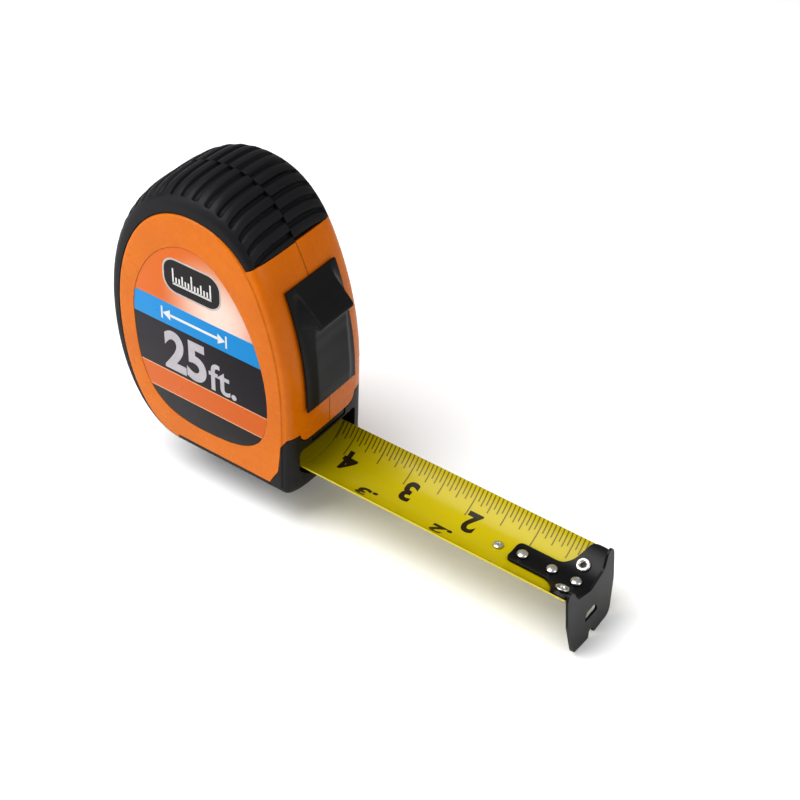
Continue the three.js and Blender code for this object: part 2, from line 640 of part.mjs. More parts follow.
const body = caseBody();
const cavity = caseCavity();
const rubberBand = body.intersect(gripZone(GAP));
const rubberPocket = gripZone(0).subtract(gripBed(0));
const solePocket = box(
  HEEL_X - GAP, FRONT_X - FOOT_DEPTH, -SOLE_WIDTH / 2 - GAP, SOLE_WIDTH / 2 + GAP, -1, SOLE_THICKNESS + GAP,
);
const bosses = SCREW_PLACES.map(([x, z]) => rodAlongY(BOSS_RADIUS, x, z, -CAVITY_HALF - 1, CAVITY_HALF + 1));
const shell = body.subtract(cavity).add(wasm.Manifold.union(bosses))
  .subtract(rubberPocket).subtract(solePocket).subtract(footZone(GAP));

function makeCaseLeft() {
  const holes = SCREW_PLACES.map(([x, z]) => rodAlongY(SCREW_SHANK + GAP, x, z, -14, 1));
  const pocket = acrossY(labelOutline(GAP), -HALF_WIDTH - 1, 0.6 - HALF_WIDTH);
  return leftOf(shell).subtract(wasm.Manifold.union(holes)).subtract(pocket);
}

function makeCaseRight() {
  const cuts = SCREW_PLACES.flatMap(([x, z]) => [
    rodAlongY(SCREW_SHANK + GAP, x, z, -1, HALF_WIDTH + 1),
    rodAlongY(SCREW_HEAD + GAP, x, z, HALF_WIDTH - 2, HALF_WIDTH + 1),
  ]);
  cuts.push(rodAlongY(SCREW_SHANK + GAP, CLIP_X, CLIP_SCREW_Z, CAVITY_HALF - 1, HALF_WIDTH + 1));
  return rightOf(shell).subtract(wasm.Manifold.union(cuts));
}

function makeGrip(side) {
  const half = side < 0 ? leftOf(rubberBand) : rightOf(rubberBand);
  return half.subtract(gripBed(GAP)).subtract(wasm.Manifold.union(gripGrooves(side)));
}

// The foot closes both halves at the mouth; its floor follows the underside of the blade.
function makeFoot() {
  const floor = bladeSection(0, BLADE_TOP, RIVET_TAIL + RUN).slice(0, 13);
  const side = BLADE_CHORD / 2 + 1.6;
  const opening = alongX([...floor, [side, BLADE_EDGE_HEIGHT], [side, MOUTH_CEILING], [-side, MOUTH_CEILING],
    [-side, BLADE_EDGE_HEIGHT]], FRONT_X - 20, FRONT_X + 10);
  const bumperSeat = box(FRONT_X - 2, FRONT_X + 1, -9 - GAP, 9 + GAP, 19 - GAP, 24);
  return body.intersect(footZone(0)).subtract(opening).subtract(bumperSeat);
}

function makeBumper() {
  return box(FRONT_X - 2 + GAP, FRONT_X - 0.2, -9, 9, 19, 24 - GAP);
}

function makeSole() {
  return box(HEEL_X, FRONT_X - FOOT_DEPTH - GAP, -SOLE_WIDTH / 2, SOLE_WIDTH / 2, 0, SOLE_THICKNESS);
}

function makeLabel() {
  return acrossY(labelOutline(0), -HALF_WIDTH, 0.3 - HALF_WIDTH);
}

function makeCaseScrew([x, z]) {
  const profile = [
    [0, -12], [SCREW_SHANK, -12], [SCREW_SHANK, HALF_WIDTH - 1.7], [SCREW_HEAD, HALF_WIDTH - 1.7],
    [SCREW_HEAD, HALF_WIDTH - 0.5], [0, HALF_WIDTH - 0.5],
  ];
  return turnedAboutY(profile, x, z, 20);
}

// ---------------------------------------------------------------- belt clip
const CLIP_X = CROWN_X;
const CLIP_SCREW_Z = CLIP_TOP - 7;

// A sprung steel strip: a pad on the case, a fold at the top, and an arm that hangs down.
function makeBeltClip() {
  const inner = HALF_WIDTH + GAP;
  const arm = inner + CLIP_THICKNESS + CLIP_GAP;
  const low = CLIP_TOP - CLIP_LENGTH;
  const t = CLIP_THICKNESS;
  const profile = [
    [inner, CLIP_TOP - 14], [inner + t, CLIP_TOP - 14],
    [inner + t, CLIP_TOP - 2.6], [inner + 2, CLIP_TOP - t],
    [arm - 1, CLIP_TOP - t], [arm, CLIP_TOP - 2.8],
    [arm, low + 16], [arm - 2.4, low + 8], [arm + 0.6, low + 0.4],
    [arm + 0.6 + t, low], [arm - 2.2 + t, low + 8], [arm + t, low + 15.4],
    [arm + t, CLIP_TOP - 2], [arm - 0.4, CLIP_TOP], [inner + 1.4, CLIP_TOP], [inner, CLIP_TOP - 2],
  ];
  const strip = alongX(profile, CLIP_X - CLIP_WIDTH / 2, CLIP_X + CLIP_WIDTH / 2);
  return strip.subtract(rodAlongY(SCREW_SHANK + GAP, CLIP_X, CLIP_SCREW_Z, inner - 1, inner + t + 1));
}

function makeClipScrew() {
  const seat = HALF_WIDTH + 2 * GAP + CLIP_THICKNESS;
  const profile = [
    [0, CAVITY_HALF + GAP], [SCREW_SHANK, CAVITY_HALF + GAP], [SCREW_SHANK, seat],
    [SCREW_HEAD, seat], [SCREW_HEAD, seat + 1], [1.6, seat + 1.5], [0, seat + 1.5],
  ];
  return turnedAboutY(profile, CLIP_X, CLIP_SCREW_Z, 20);
}

// ---------------------------------------------------------------- assembly
const ABS_ORANGE = { color: 0xe07c00, roughness: 0.38, metalness: 0 };
const RUBBER_BLACK = { color: 0x1c1c1f, roughness: 0.75, metalness: 0 };
const NYLON_BLACK = { color: 0x202024, roughness: 0.5, metalness: 0 };
const ACETAL_WHITE = { color: 0xe6e4dc, roughness: 0.5, metalness: 0 };
const BLADE_YELLOW = { color: 0xd8c80a, roughness: 0.35, metalness: 0 };
const STEEL_BLACK = { color: 0x18181a, roughness: 0.4, metalness: 0.6 };
const STEEL_BRIGHT = { color: 0xb9b9bb, roughness: 0.3, metalness: 1 };
const LABEL_FILM = { color: 0xeb8032, roughness: 0.3, metalness: 0 };

const group = new THREE.Group();

function place(name, bodyOfPiece, look) {
  const mesh = new THREE.Mesh(geometryOf(withoutSlivers(bodyOfPiece)), new THREE.MeshStandardMaterial(look));
  mesh.name = name;
  group.add(mesh);
}

place('case_left', makeCaseLeft(), ABS_ORANGE);
place('case_right', makeCaseRight(), ABS_ORANGE);
place('grip_left', makeGrip(-1), RUBBER_BLACK);
place('grip_right', makeGrip(1), RUBBER_BLACK);
place('mouth_foot', makeFoot(), NYLON_BLACK);
place('mouth_bumper', makeBumper(), RUBBER_BLACK);
place('base_sole', makeSole(), NYLON_BLACK);
place('label_left', makeLabel(), LABEL_FILM);
place('lock_button', makeLockButton(), NYLON_BLACK);
place('brake_arm', makeBrakeArm(), ACETAL_WHITE);
place('brake_pad', makeBrakePad(), RUBBER_BLACK);
place('blade', makeBlade(), BLADE_YELLOW);
place('blade_inner_run', makeInnerRun(), BLADE_YELLOW);
place('blade_coil', makeCoil(), BLADE_YELLOW);
place('hook', makeHook(), STEEL_BLACK);
RIVET_FROM_FLANGE.forEach((x, i) => place(`hook_rivet_${i + 1}`, makeRivet(HOOK_X - x), STEEL_BRIGHT));
place('hook_eyelet_left', makeEyelet(-1), STEEL_BRIGHT);
place('hook_eyelet_right', makeEyelet(1), STEEL_BRIGHT);
place('blade_rivet', makeBladeRivet(), STEEL_BRIGHT);
place('drum', makeDrum(), ACETAL_WHITE);
place('drum_cover', makeDrumCover(), ACETAL_WHITE);
place('mainspring', makeMainspring(), STEEL_BRIGHT);
place('axle_post', makeAxlePost(), STEEL_BRIGHT);
place('washer_left', makeWasher(-1), STEEL_BRIGHT);
place('washer_right', makeWasher(1), STEEL_BRIGHT);
SCREW_PLACES.forEach((at, i) => place(`case_screw_${i + 1}`, makeCaseScrew(at), STEEL_BRIGHT));
place('belt_clip', makeBeltClip(), STEEL_BLACK);
place('clip_screw', makeClipScrew(), STEEL_BRIGHT);

export default group;
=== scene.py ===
import math

import bmesh
import bpy
from mathutils import Matrix, Vector


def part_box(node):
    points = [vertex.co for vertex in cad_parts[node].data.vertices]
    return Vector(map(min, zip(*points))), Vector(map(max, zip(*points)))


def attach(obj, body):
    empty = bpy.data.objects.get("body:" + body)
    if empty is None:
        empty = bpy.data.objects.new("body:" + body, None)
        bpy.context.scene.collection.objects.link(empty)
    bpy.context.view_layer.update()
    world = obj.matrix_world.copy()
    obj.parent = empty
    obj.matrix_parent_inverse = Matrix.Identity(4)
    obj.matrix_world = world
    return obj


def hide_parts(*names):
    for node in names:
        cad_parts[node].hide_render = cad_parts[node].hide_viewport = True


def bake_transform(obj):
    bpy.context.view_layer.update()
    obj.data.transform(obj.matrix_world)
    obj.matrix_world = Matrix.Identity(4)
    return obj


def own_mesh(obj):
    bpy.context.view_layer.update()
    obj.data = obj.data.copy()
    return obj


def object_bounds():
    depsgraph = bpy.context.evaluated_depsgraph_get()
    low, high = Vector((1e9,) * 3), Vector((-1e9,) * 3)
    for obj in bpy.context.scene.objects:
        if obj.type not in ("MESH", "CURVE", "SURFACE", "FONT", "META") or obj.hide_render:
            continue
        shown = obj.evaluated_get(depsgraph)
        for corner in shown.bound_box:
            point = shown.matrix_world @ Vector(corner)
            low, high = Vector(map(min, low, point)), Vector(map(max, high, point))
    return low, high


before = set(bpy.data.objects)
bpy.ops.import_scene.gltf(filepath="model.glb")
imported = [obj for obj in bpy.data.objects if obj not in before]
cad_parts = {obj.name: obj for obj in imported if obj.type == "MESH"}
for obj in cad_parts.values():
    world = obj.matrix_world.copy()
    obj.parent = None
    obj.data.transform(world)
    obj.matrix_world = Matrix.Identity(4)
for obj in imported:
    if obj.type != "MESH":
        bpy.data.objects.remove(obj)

cad_low, cad_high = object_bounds()

# ------------------------------------------------------------------ table, light and camera
# A seamless pale table lies just under the hook, the lowest point, so the case hangs a little
# above it. Three soft boxes and a pale sky light it. The camera is a long lens above the blade,
# on the label's side of the case.
MM = 0.001


def linear(hex_colour):
    """An sRGB hex colour such as "e07c00" as linear red, green, blue and alpha."""
    parts = [int(hex_colour[i:i + 2], 16) / 255 for i in (0, 2, 4)]
    return [c / 12.92 if c <= 0.04045 else ((c + 0.055) / 1.055) ** 2.4 for c in parts] + [1.0]


def new_material(name):
    material = bpy.data.materials.new(name)
    material.use_nodes = True
    return material, material.node_tree.nodes["Principled BSDF"]


def add(material, kind, settings=None, **links):
    """A node of that kind with its settings; each input, by name or as i0, i1, is set or linked."""
    tree = material.node_tree
    node = tree.nodes.new("ShaderNode" + kind)
    for key, value in (settings or {}).items():
        setattr(node, key, value)
    for key, value in links.items():
        numbered = key[0] == "i" and key[1:].isdigit()
        socket = node.inputs[int(key[1:]) if numbered else key.replace("_", " ")]
        if isinstance(value, bpy.types.NodeSocket):
            tree.links.new(value, socket)
        else:
            socket.default_value = value
    return node


def link(material, output, socket):
    material.node_tree.links.new(output, socket)


def table_paint():
    # Matt white laminate; a very faint mottle keeps it from looking like paper cut from one sheet.
    paint, shader = new_material("white_laminate_table")
    place = add(paint, "TexCoord")
    mottle = add(paint, "TexNoise", Vector=place.outputs["Object"], Scale=0.9 / (100 * MM),
                 Detail=3.0)
    tone = add(paint, "ValToRGB", Fac=mottle.outputs["Fac"])
    tone.color_ramp.elements[0].color = linear("f8f8f8")
    tone.color_ramp.elements[1].color = linear("fdfdfd")
    link(paint, tone.outputs["Color"], shader.inputs["Base Color"])
    shader.inputs["Roughness"].default_value = 0.75
    return paint


FLOOR_Z = cad_low[2] - 0.1 * MM
table_mesh = bpy.data.meshes.new("table")
table_corners = [(x, y, FLOOR_Z) for x, y in ((-4, -4), (4, -4), (4, 4), (-4, 4))]
table_mesh.from_pydata(table_corners, [], [(0, 1, 2, 3)])
table = bpy.data.objects.new("table", table_mesh)
bpy.context.scene.collection.objects.link(table)
table_mesh.materials.append(table_paint())

LAMP_AIM = Vector((0.055, 0.0, 0.045))  # over the mouth, where the lamps point


def soft_box(name, place, width, height, power):
    lamp = bpy.data.lights.new(name, "AREA")
    lamp.shape = "RECTANGLE"
    lamp.size = width
    lamp.size_y = height
    lamp.energy = power
    holder = bpy.data.objects.new(name, lamp)
    holder.location = place
    holder.rotation_mode = "QUATERNION"
    holder.rotation_quaternion = (Vector(place) - LAMP_AIM).to_track_quat("Z", "Y")
    bpy.context.scene.collection.objects.link(holder)


soft_box("overhead_box", (-0.25, -0.35, 0.95), 0.8, 0.8, 10.5)
soft_box("side_box", (-0.75, -0.85, 0.45), 0.3, 0.6, 3.4)
soft_box("front_box", (0.9, 0.1, 0.55), 0.3, 0.6, 1.8)

sky = bpy.data.worlds.new("pale_sky")
bpy.context.scene.world = sky
sky.use_nodes = True
sky.node_tree.nodes["Background"].inputs["Color"].default_value = (1, 1, 1, 1)
sky.node_tree.nodes["Background"].inputs["Strength"].default_value = 0.36
bpy.context.scene.view_settings.view_transform = "Standard"
bpy.context.scene.view_settings.look = "Medium High Contrast"

# The camera's three axes and its place in the object's frame, with a slight roll to the left.
camera_data = bpy.data.cameras.new("camera")
camera_data.sensor_width = 36
camera_data.lens = 78
camera = bpy.data.objects.new("camera", camera_data)
bpy.context.scene.collection.objects.link(camera)
bpy.context.scene.camera = camera
camera_azimuth = math.radians(33.71)
camera_elevation = math.radians(39.65)
camera_roll = math.radians(2.46)
camera_back = Vector((
    math.sin(camera_azimuth) * math.cos(camera_elevation),
    -math.cos(camera_azimuth) * math.cos(camera_elevation),
    math.sin(camera_elevation),
))
camera_right = Vector((math.cos(camera_azimuth), math.sin(camera_azimuth), 0))
camera_up = camera_back.cross(camera_right)
right = camera_right * math.cos(camera_roll) + camera_up * math.sin(camera_roll)
up = camera_back.cross(right)
camera.matrix_world = Matrix((right, up, camera_back)).transposed().to_4x4()
camera.location = Vector((312.5, -361.6, 405.7)) * MM

# ------------------------------------------------------------------ case mouldings
# Two deep shells of glossy orange ABS that meet in the middle and are hollow round the drum. Seen
# from the side the case has a flat base, a plumb nose, a front that leans back along an arc, and a
# round crown and back. Its panels and front show between the rubber, the foot and the lock.


def box_mm(node):
    low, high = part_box(node)
    return low / MM, high / MM


SEAM = 0.15  # half the joint between the two mouldings
CASE_LENGTH = 81
CROWN_Z = 108
FRONT_X = box_mm("mouth_foot")[1].x
REAR_X = FRONT_X - CASE_LENGTH
HALF_WIDTH = box_mm("case_right")[1].y
PANEL_Y = HALF_WIDTH - 0.4
NOSE_HEIGHT = 34
FRONT_RADIUS = 117
TOE_RADIUS = 2.5
FRONT_CENTRE_X = FRONT_X - FRONT_RADIUS
HEEL_X = REAR_X + 31
CROWN_X = REAR_X + CASE_LENGTH / 2
BACK_HEIGHT = 0.44 * CROWN_Z
GRIP_END_Z = CROWN_Z - 19
EDGE_INSET = {"front": 4.2, "rear": 7, "top": 10, "floor": 2.2}


def bezier(points):
    """The curve through two ends and two handles, as a function of 0 to 1."""
    a, b, c, d = [Vector(p) for p in points]
    return lambda t: (
        a * (1 - t) ** 3 + b * 3 * t * (1 - t) ** 2 + c * 3 * t * t * (1 - t) + d * t ** 3
    )


def case_edges(front=0.0, rear=0.0, top=0.0, floor=0.0):
    """The seven edges of the case's side view as functions of 0 to 1, less the insets."""
    nose, back, crown = FRONT_X - front, REAR_X + rear, CROWN_Z - top
    toe = max(TOE_RADIUS - front / 2, 0.8)
    radius = FRONT_RADIUS - front
    lean = math.asin((GRIP_END_Z - top * 0.8 - NOSE_HEIGHT) / FRONT_RADIUS)
    tip = Vector((FRONT_CENTRE_X + radius * math.cos(lean), NOSE_HEIGHT + radius * math.sin(lean)))
    rise = crown - tip.y
    heel, toe_start = Vector((HEEL_X, floor)), Vector((nose - toe, floor))
    toe_end, nose_top = Vector((nose, floor + toe)), Vector((nose, NOSE_HEIGHT))
    corner = Vector((nose, floor))
    return [
        lambda t: heel.lerp(toe_start, t),
        lambda t: toe_start.lerp(corner, t).lerp(corner.lerp(toe_end, t), t),
        lambda t: toe_end.lerp(nose_top, t),
        lambda t: Vector((
            FRONT_CENTRE_X + radius * math.cos(lean * t),
            NOSE_HEIGHT + radius * math.sin(lean * t),
        )),
        bezier((
            tip,
            (tip.x - rise * 0.62 * math.tan(lean), tip.y + rise * 0.62),
            (CROWN_X + (tip.x - CROWN_X) * 0.5, crown),
            (CROWN_X, crown),
        )),
        bezier((
            (CROWN_X, crown),
            (CROWN_X + (back - CROWN_X) * 0.6, crown),
            (back, BACK_HEIGHT + (crown - BACK_HEIGHT) * 0.56),
            (back, BACK_HEIGHT),
        )),
        bezier((
            (back, BACK_HEIGHT),
            (back, floor + (BACK_HEIGHT - floor) * 0.4),
            (HEEL_X + (back - HEEL_X) * 0.58, floor),
            (HEEL_X, floor),
        )),
    ]


def even_marks(step):
    """Places round the case's outline about one step apart, as (edge, share of that edge)."""
    marks = []
    for index, edge in enumerate(case_edges()):
        fine = [edge(i / 60) for i in range(61)]
        lengths = [0.0]
        for a, b in zip(fine, fine[1:]):
            lengths.append(lengths[-1] + (b - a).length)
        count = max(4, round(lengths[-1] / step))
        for k in range(count):
            wanted = lengths[-1] * k / count
            i = next(i for i in range(60) if lengths[i + 1] > wanted)
            share = (wanted - lengths[i]) / (lengths[i + 1] - lengths[i])
            marks.append((index, (i + share) / 60))
    return marks


def case_outline(marks, extra=0.0, edge=0.0):
    """The outline at those marks, inset by extra all round and by the rolled edge's share."""
    insets = {side: inset * edge + extra for side, inset in EDGE_INSET.items()}
    edges = case_edges(**insets)
    return [edges[index](share) for index, share in marks]


def roll(y):
    """How far the crown has rolled over at y: 0 at the seam, 1 where it meets the side panel."""
    share = min(abs(y) / PANEL_Y, 1)
    return 1 - (1 - share ** 3.2) ** (1 / 3.2)


def piece(name, points, faces, angle=32):
    """A named object from points in millimetres; edges sharper than the angle stay crisp."""
    mesh = bpy.data.meshes.new(name)
    mesh.from_pydata([tuple(Vector(p) * MM) for p in points], [], faces)
    work = bmesh.new()
    work.from_mesh(mesh)
    bmesh.ops.recalc_face_normals(work, faces=work.faces)
    work.to_mesh(mesh)
    work.free()
    made = bpy.data.objects.new(name, mesh)
    bpy.context.scene.collection.objects.link(made)
    crisp(made, angle)
    return made


def crisp(thing, angle=32):
    thing.data.polygons.foreach_set("use_smooth", [True] * len(thing.data.polygons))
    thing.data.set_sharp_from_angle(angle=math.radians(angle))
    thing.data.update()


def loft(name, rings, angle=32):
    """A closed skin through rings of equal count, capped at both ends."""
    count = len(rings[0])
    faces = [tuple(range(count)), tuple(range((len(rings) - 1) * count, len(rings) * count))]
    for k in range(len(rings) - 1):
        for i in range(count):
            a, b = k * count + i, k * count + (i + 1) % count
            faces.append((a, b, b + count, a + count))
    return piece(name, [p for ring in rings for p in ring], faces, angle)


def across(name, outline, from_y, to_y):
    """A prism of an X-Z outline between two Y planes."""
    return loft(name, [[(x, y, z) for x, z in outline] for y in (from_y, to_y)])


def block(name, low, high):
    corners = [(low[0], low[2]), (high[0], low[2]), (high[0], high[2]), (low[0], high[2])]
    return across(name, corners, low[1], high[1])


def carve(body, tools, how="DIFFERENCE"):
    """Cuts body with each tool, or joins or crosses them, and leaves it a plain mesh."""
    for tool in tools:
        cut = body.modifiers.new("cut", "BOOLEAN")
        cut.operation = how
        cut.object = tool
        cut.solver = "MANIFOLD"
        graph = bpy.context.evaluated_depsgraph_get()
        cut_mesh = bpy.data.meshes.new_from_object(body.evaluated_get(graph))
        body.modifiers.clear()
        body.data = cut_mesh
        bpy.data.objects.remove(tool)
    crisp(body)
    return body


case_marks = even_marks(1.5)
ROLL_ROWS = [0, 0.25, 0.45, 0.58, 0.68, 0.76, 0.82, 0.87, 0.91, 0.94, 0.963, 0.98, 0.992, 1]


def case_row(y, extra=0.0, edge=None):
    outline = case_outline(case_marks, extra, roll(y) if edge is None else edge)
    return [(x, y, z) for x, z in outline]


def whole_case(name):
    """The case's outside as one solid, both halves and their raised panels."""
    half = [case_row(share * PANEL_Y) for share in ROLL_ROWS]
    for share in (0.3, 0.6, 0.85, 1):
        turn = share * math.pi / 2
        half.append(case_row(PANEL_Y + 0.4 * math.sin(turn), 0.4 * (1 - math.cos(turn)), 1))
    mirrored = [[(x, -y, z) for x, y, z in row] for row in reversed(half[1:])]
    return loft(name, mirrored + half)


def rubber_bed(clearance):
    """What lies under the rubber: the case less the grip's thickness, and the raised panels."""
    reach = PANEL_Y - 1.2 + clearance
    rows = [case_row(share * reach, 3.0 - clearance) for share in (
        -1, -0.97, -0.93, -0.84, -0.66, -0.3, 0, 0.3, 0.66, 0.84, 0.93, 0.97, 1)]
    bed = loft("rubber_bed", rows)
    panel = [(x, z) for x, y, z in case_row(0, -clearance - 0.2, 1)]
    return carve(bed, [across("panel_prism", panel, -HALF_WIDTH - 1, HALF_WIDTH + 1)], "UNION")


def grip_zone(shrink):
    """The part of the side view that the rubber covers, from the forehead over to the heel."""
    angle = math.asin((GRIP_END_Z - NOSE_HEIGHT) / FRONT_RADIUS)
    out = Vector((math.cos(angle), math.sin(angle)))
    start = Vector((FRONT_CENTRE_X + FRONT_RADIUS * out.x - 1.27, GRIP_END_Z))
    start += Vector((-out.y, out.x)) * shrink
    inner, outer, far = start - out * 16, start + out * 16, 30
    return across("grip_zone", [
        inner, outer, (outer.x, CROWN_Z + far), (REAR_X - far, CROWN_Z + far),
        (REAR_X - far, -far), (HEEL_X - shrink, -far), (HEEL_X - shrink, BACK_HEIGHT),
    ], -60, 60)


def eased(points, radius, steps=5):
    """An outline with each corner rounded by radius, or by what its sides allow."""
    made, count = [], len(points)
    for i in range(count):
        a, b, c = Vector(points[i - 1]), Vector(points[i]), Vector(points[(i + 1) % count])
        reach = min(radius, (a - b).length * 0.45, (c - b).length * 0.45)
        start, end = b + (a - b).normalized() * reach, b + (c - b).normalized() * reach
        for k in range(steps + 1):
            t = k / steps
            made.append(start.lerp(b, t).lerp(b.lerp(end, t), t))
    return made


def foot_zone(grow):
    """What the foot fills, with a margin; its top edge dips between the front corners."""
    back = FRONT_X - 9 - grow
    zone = across("foot_zone", [
        (back, -5), (FRONT_X + 5, -5), (FRONT_X + 5, 25.5 + grow), (FRONT_X - 2.4, 24.9 + grow),
        (FRONT_X - 4.4 - grow, 21.5), (FRONT_X - 4.8 - grow, 16), (FRONT_X - 5.6 - grow, 10),
        (back, 4),
    ], -60, 60)
    high, low, wide = 40, 21.3 + grow, 14.5 - grow
    dip = eased([(-wide - 4.5, high), (-wide, low), (wide, low), (wide + 4.5, high)], 3)
    ends = [[(x, y, z) for y, z in dip] for x in (FRONT_X - 30, FRONT_X + 8)]
    return carve(zone, [loft("dip", ends)])


def half_space(side):
    """All the room on one side of the joint between the two mouldings."""
    low, high = (-60, -SEAM) if side < 0 else (SEAM, 60)
    return block("half_space", (-100, low, -60), (100, high, 200))


SIDE_WALL = 2.6
SOLE_TOP = 1
SOLE_RIM_Y = 18.5
SOLE_RIM_TOP = 3.3
CAVITY_HALF = HALF_WIDTH - SIDE_WALL


def label_outline(grow, steps=20):
    """The label's egg-shaped outline, drawn larger by grow."""
    low, high = 11.5 - grow, CROWN_Z - 22 + grow
    front, rear = FRONT_X - 10.2 + grow, REAR_X + 13.7 - grow
    middle = (front + rear) / 2
    sides = [
        ((middle, low), (front - 9, low), (front, 16), (front, 34)),
        ((front, 34), (front, 60), (middle + 12, high), (middle - 2, high)),
        ((middle - 2, high), (middle - 16, high), (rear, 69), (rear, 51)),
        ((rear, 51), (rear, 21), (rear + 8, low), (middle, low)),
    ]
    return [bezier(side)(i / steps) for side in sides for i in range(steps)]


def moulded_abs():
    # Injection-moulded ABS, gloss finish: a clean highlight broken by a faint flow mottle and by
    # fine rub marks, with the colour a little paler where edges have been handled.
    plastic, shader = new_material("moulded_abs_orange")
    place = add(plastic, "TexCoord").outputs["Object"]
    flow = add(plastic, "TexNoise", Vector=place, Scale=3.8 / (100 * MM), Detail=4.0,
               Roughness=0.55)
    tone = add(plastic, "ValToRGB", Fac=flow.outputs["Fac"])
    tone.color_ramp.elements[0].position = 0.3
    tone.color_ramp.elements[0].color = linear("bd6200")
    tone.color_ramp.elements[1].position = 0.72
    tone.color_ramp.elements[1].color = linear("c96c00")
    rounded = add(plastic, "Bevel", {"samples": 4}, Radius=0.5 * MM)
    sharp = add(plastic, "NewGeometry")
    facing = add(plastic, "VectorMath", {"operation": "DOT_PRODUCT"},
                 i0=rounded.outputs["Normal"], i1=sharp.outputs["Normal"])
    edge = add(plastic, "MapRange", Value=facing.outputs["Value"], From_Min=0.995, From_Max=0.9)
    worn = add(plastic, "Mix", {"data_type": "RGBA"}, Factor=add(
        plastic, "Math", {"operation": "MULTIPLY"}, i0=edge.outputs["Result"], i1=0.35,
    ).outputs["Value"])
    link(plastic, tone.outputs["Color"], worn.inputs["A"])
    worn.inputs["B"].default_value = linear("d8841c")
    link(plastic, worn.outputs["Result"], shader.inputs["Base Color"])
    rubs = add(plastic, "TexNoise", Vector=place, Scale=1 / (6.25 * MM), Detail=6.0, Distortion=0.6)
    gloss = add(plastic, "MapRange", Value=rubs.outputs["Fac"], To_Min=0.2, To_Max=0.34)
    link(plastic, gloss.outputs["Result"], shader.inputs["Roughness"])
    # Moulding skin: an undulation about 1.5 mm across and a few hundredths of a millimetre deep.
    skin = add(plastic, "TexNoise", Vector=place, Scale=1 / (1.5 * MM), Detail=2.0)
    relief = add(plastic, "Bump", Height=skin.outputs["Fac"], Strength=0.12, Distance=0.03 * MM,
                 Normal=rounded.outputs["Normal"])
    link(plastic, relief.outputs["Normal"], shader.inputs["Normal"])
    shader.inputs["IOR"].default_value = 1.52
    shader.inputs["Specular IOR Level"].default_value = 0.2
    return plastic


abs_orange = moulded_abs()


def hollow():
    """The room inside the case, with the slot that the lock's stem moves in."""
    deep_edges = case_edges(front=2.5, rear=5.0, top=5.0, floor=2.2)
    shallow_edges = case_edges(front=2.5, rear=6.1, top=9.0, floor=2.2)
    deep = [deep_edges[index](share) for index, share in case_marks[::2]]
    shallow = [shallow_edges[index](share) for index, share in case_marks[::2]]
    rows = [(shallow, -CAVITY_HALF), (deep, -0.72 * CAVITY_HALF), (deep, 0.72 * CAVITY_HALF),
            (shallow, CAVITY_HALF)]
    room = loft("hollow", [[(x, y, z) for x, z in outline] for outline, y in rows])
    slot = block("stem_slot", (FRONT_X - 12, -5.5, 41.8), (FRONT_X + 6, 5.5, 57.5))
    return carve(room, [slot], "UNION")


screw_places = []
for index in (1, 2, 3):
    low, high = box_mm(f"case_screw_{index}")
    screw_places.append(((low.x + high.x) / 2, (low.z + high.z) / 2))


def ring_points(radius, x, z, steps=32):
    """A circle in the side view."""
    turns = [2 * math.pi * i / steps for i in range(steps)]
    return [(x + radius * math.cos(t), z + radius * math.sin(t)) for t in turns]


def finish_piece(thing, material, body, slot, *nodes):
    """Gives a piece its material and body, and the CAD nodes that it stands for; slot is not used.
    """
    thing.data.materials.clear()
    thing.data.materials.append(material)
    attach(thing, body)
    if nodes:
        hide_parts(*nodes)
    return thing


def case_shell(name, side):
    shell = whole_case(name)
    tools = [hollow()]
    pocket = grip_zone(0)
    carve(pocket, [rubber_bed(0)])
    tools += [pocket, foot_zone(0.3)]
    heel, toe = HEEL_X - 0.3, FRONT_X - 9
    tools.append(block("over_sole", (heel, -30, -2), (toe, 30, SOLE_TOP + 0.3)))
    for low_y, high_y in ((-30, -SOLE_RIM_Y), (SOLE_RIM_Y, 30)):
        tools.append(block("over_rim", (heel, low_y, -2), (toe, high_y, SOLE_RIM_TOP + 0.2)))
    if side < 0:
        tools.append(across("label_pocket", label_outline(0.12), -HALF_WIDTH - 1, 0.6 - HALF_WIDTH))
    else:
        for x, z in screw_places:
            well = ring_points(2.5, x, z)
            tools.append(across("screw_well", well, HALF_WIDTH - 2, HALF_WIDTH + 1))
    carve(shell, tools)
    carve(shell, [half_space(side)], "INTERSECT")
    return shell


for side, word in ((-1, "left"), (1, "right")):
    shell = case_shell(f"case_shell_{word}", side)
    finish_piece(shell, abs_orange, "case", "abs_orange", f"case_{word}")

# ------------------------------------------------------------------ rubber grips
# Soft black thermoplastic rubber moulded over the crown and back of each half. Cross ribs end in
# a smooth rim beside the panel, and those of one half sit between those of the other.
RIB_PITCH = 5.1
RIB_COUNT = 18
GROOVE_WIDTH = 1.3
GROOVE_DEPTH = 1.2
RIB_END = 19.0


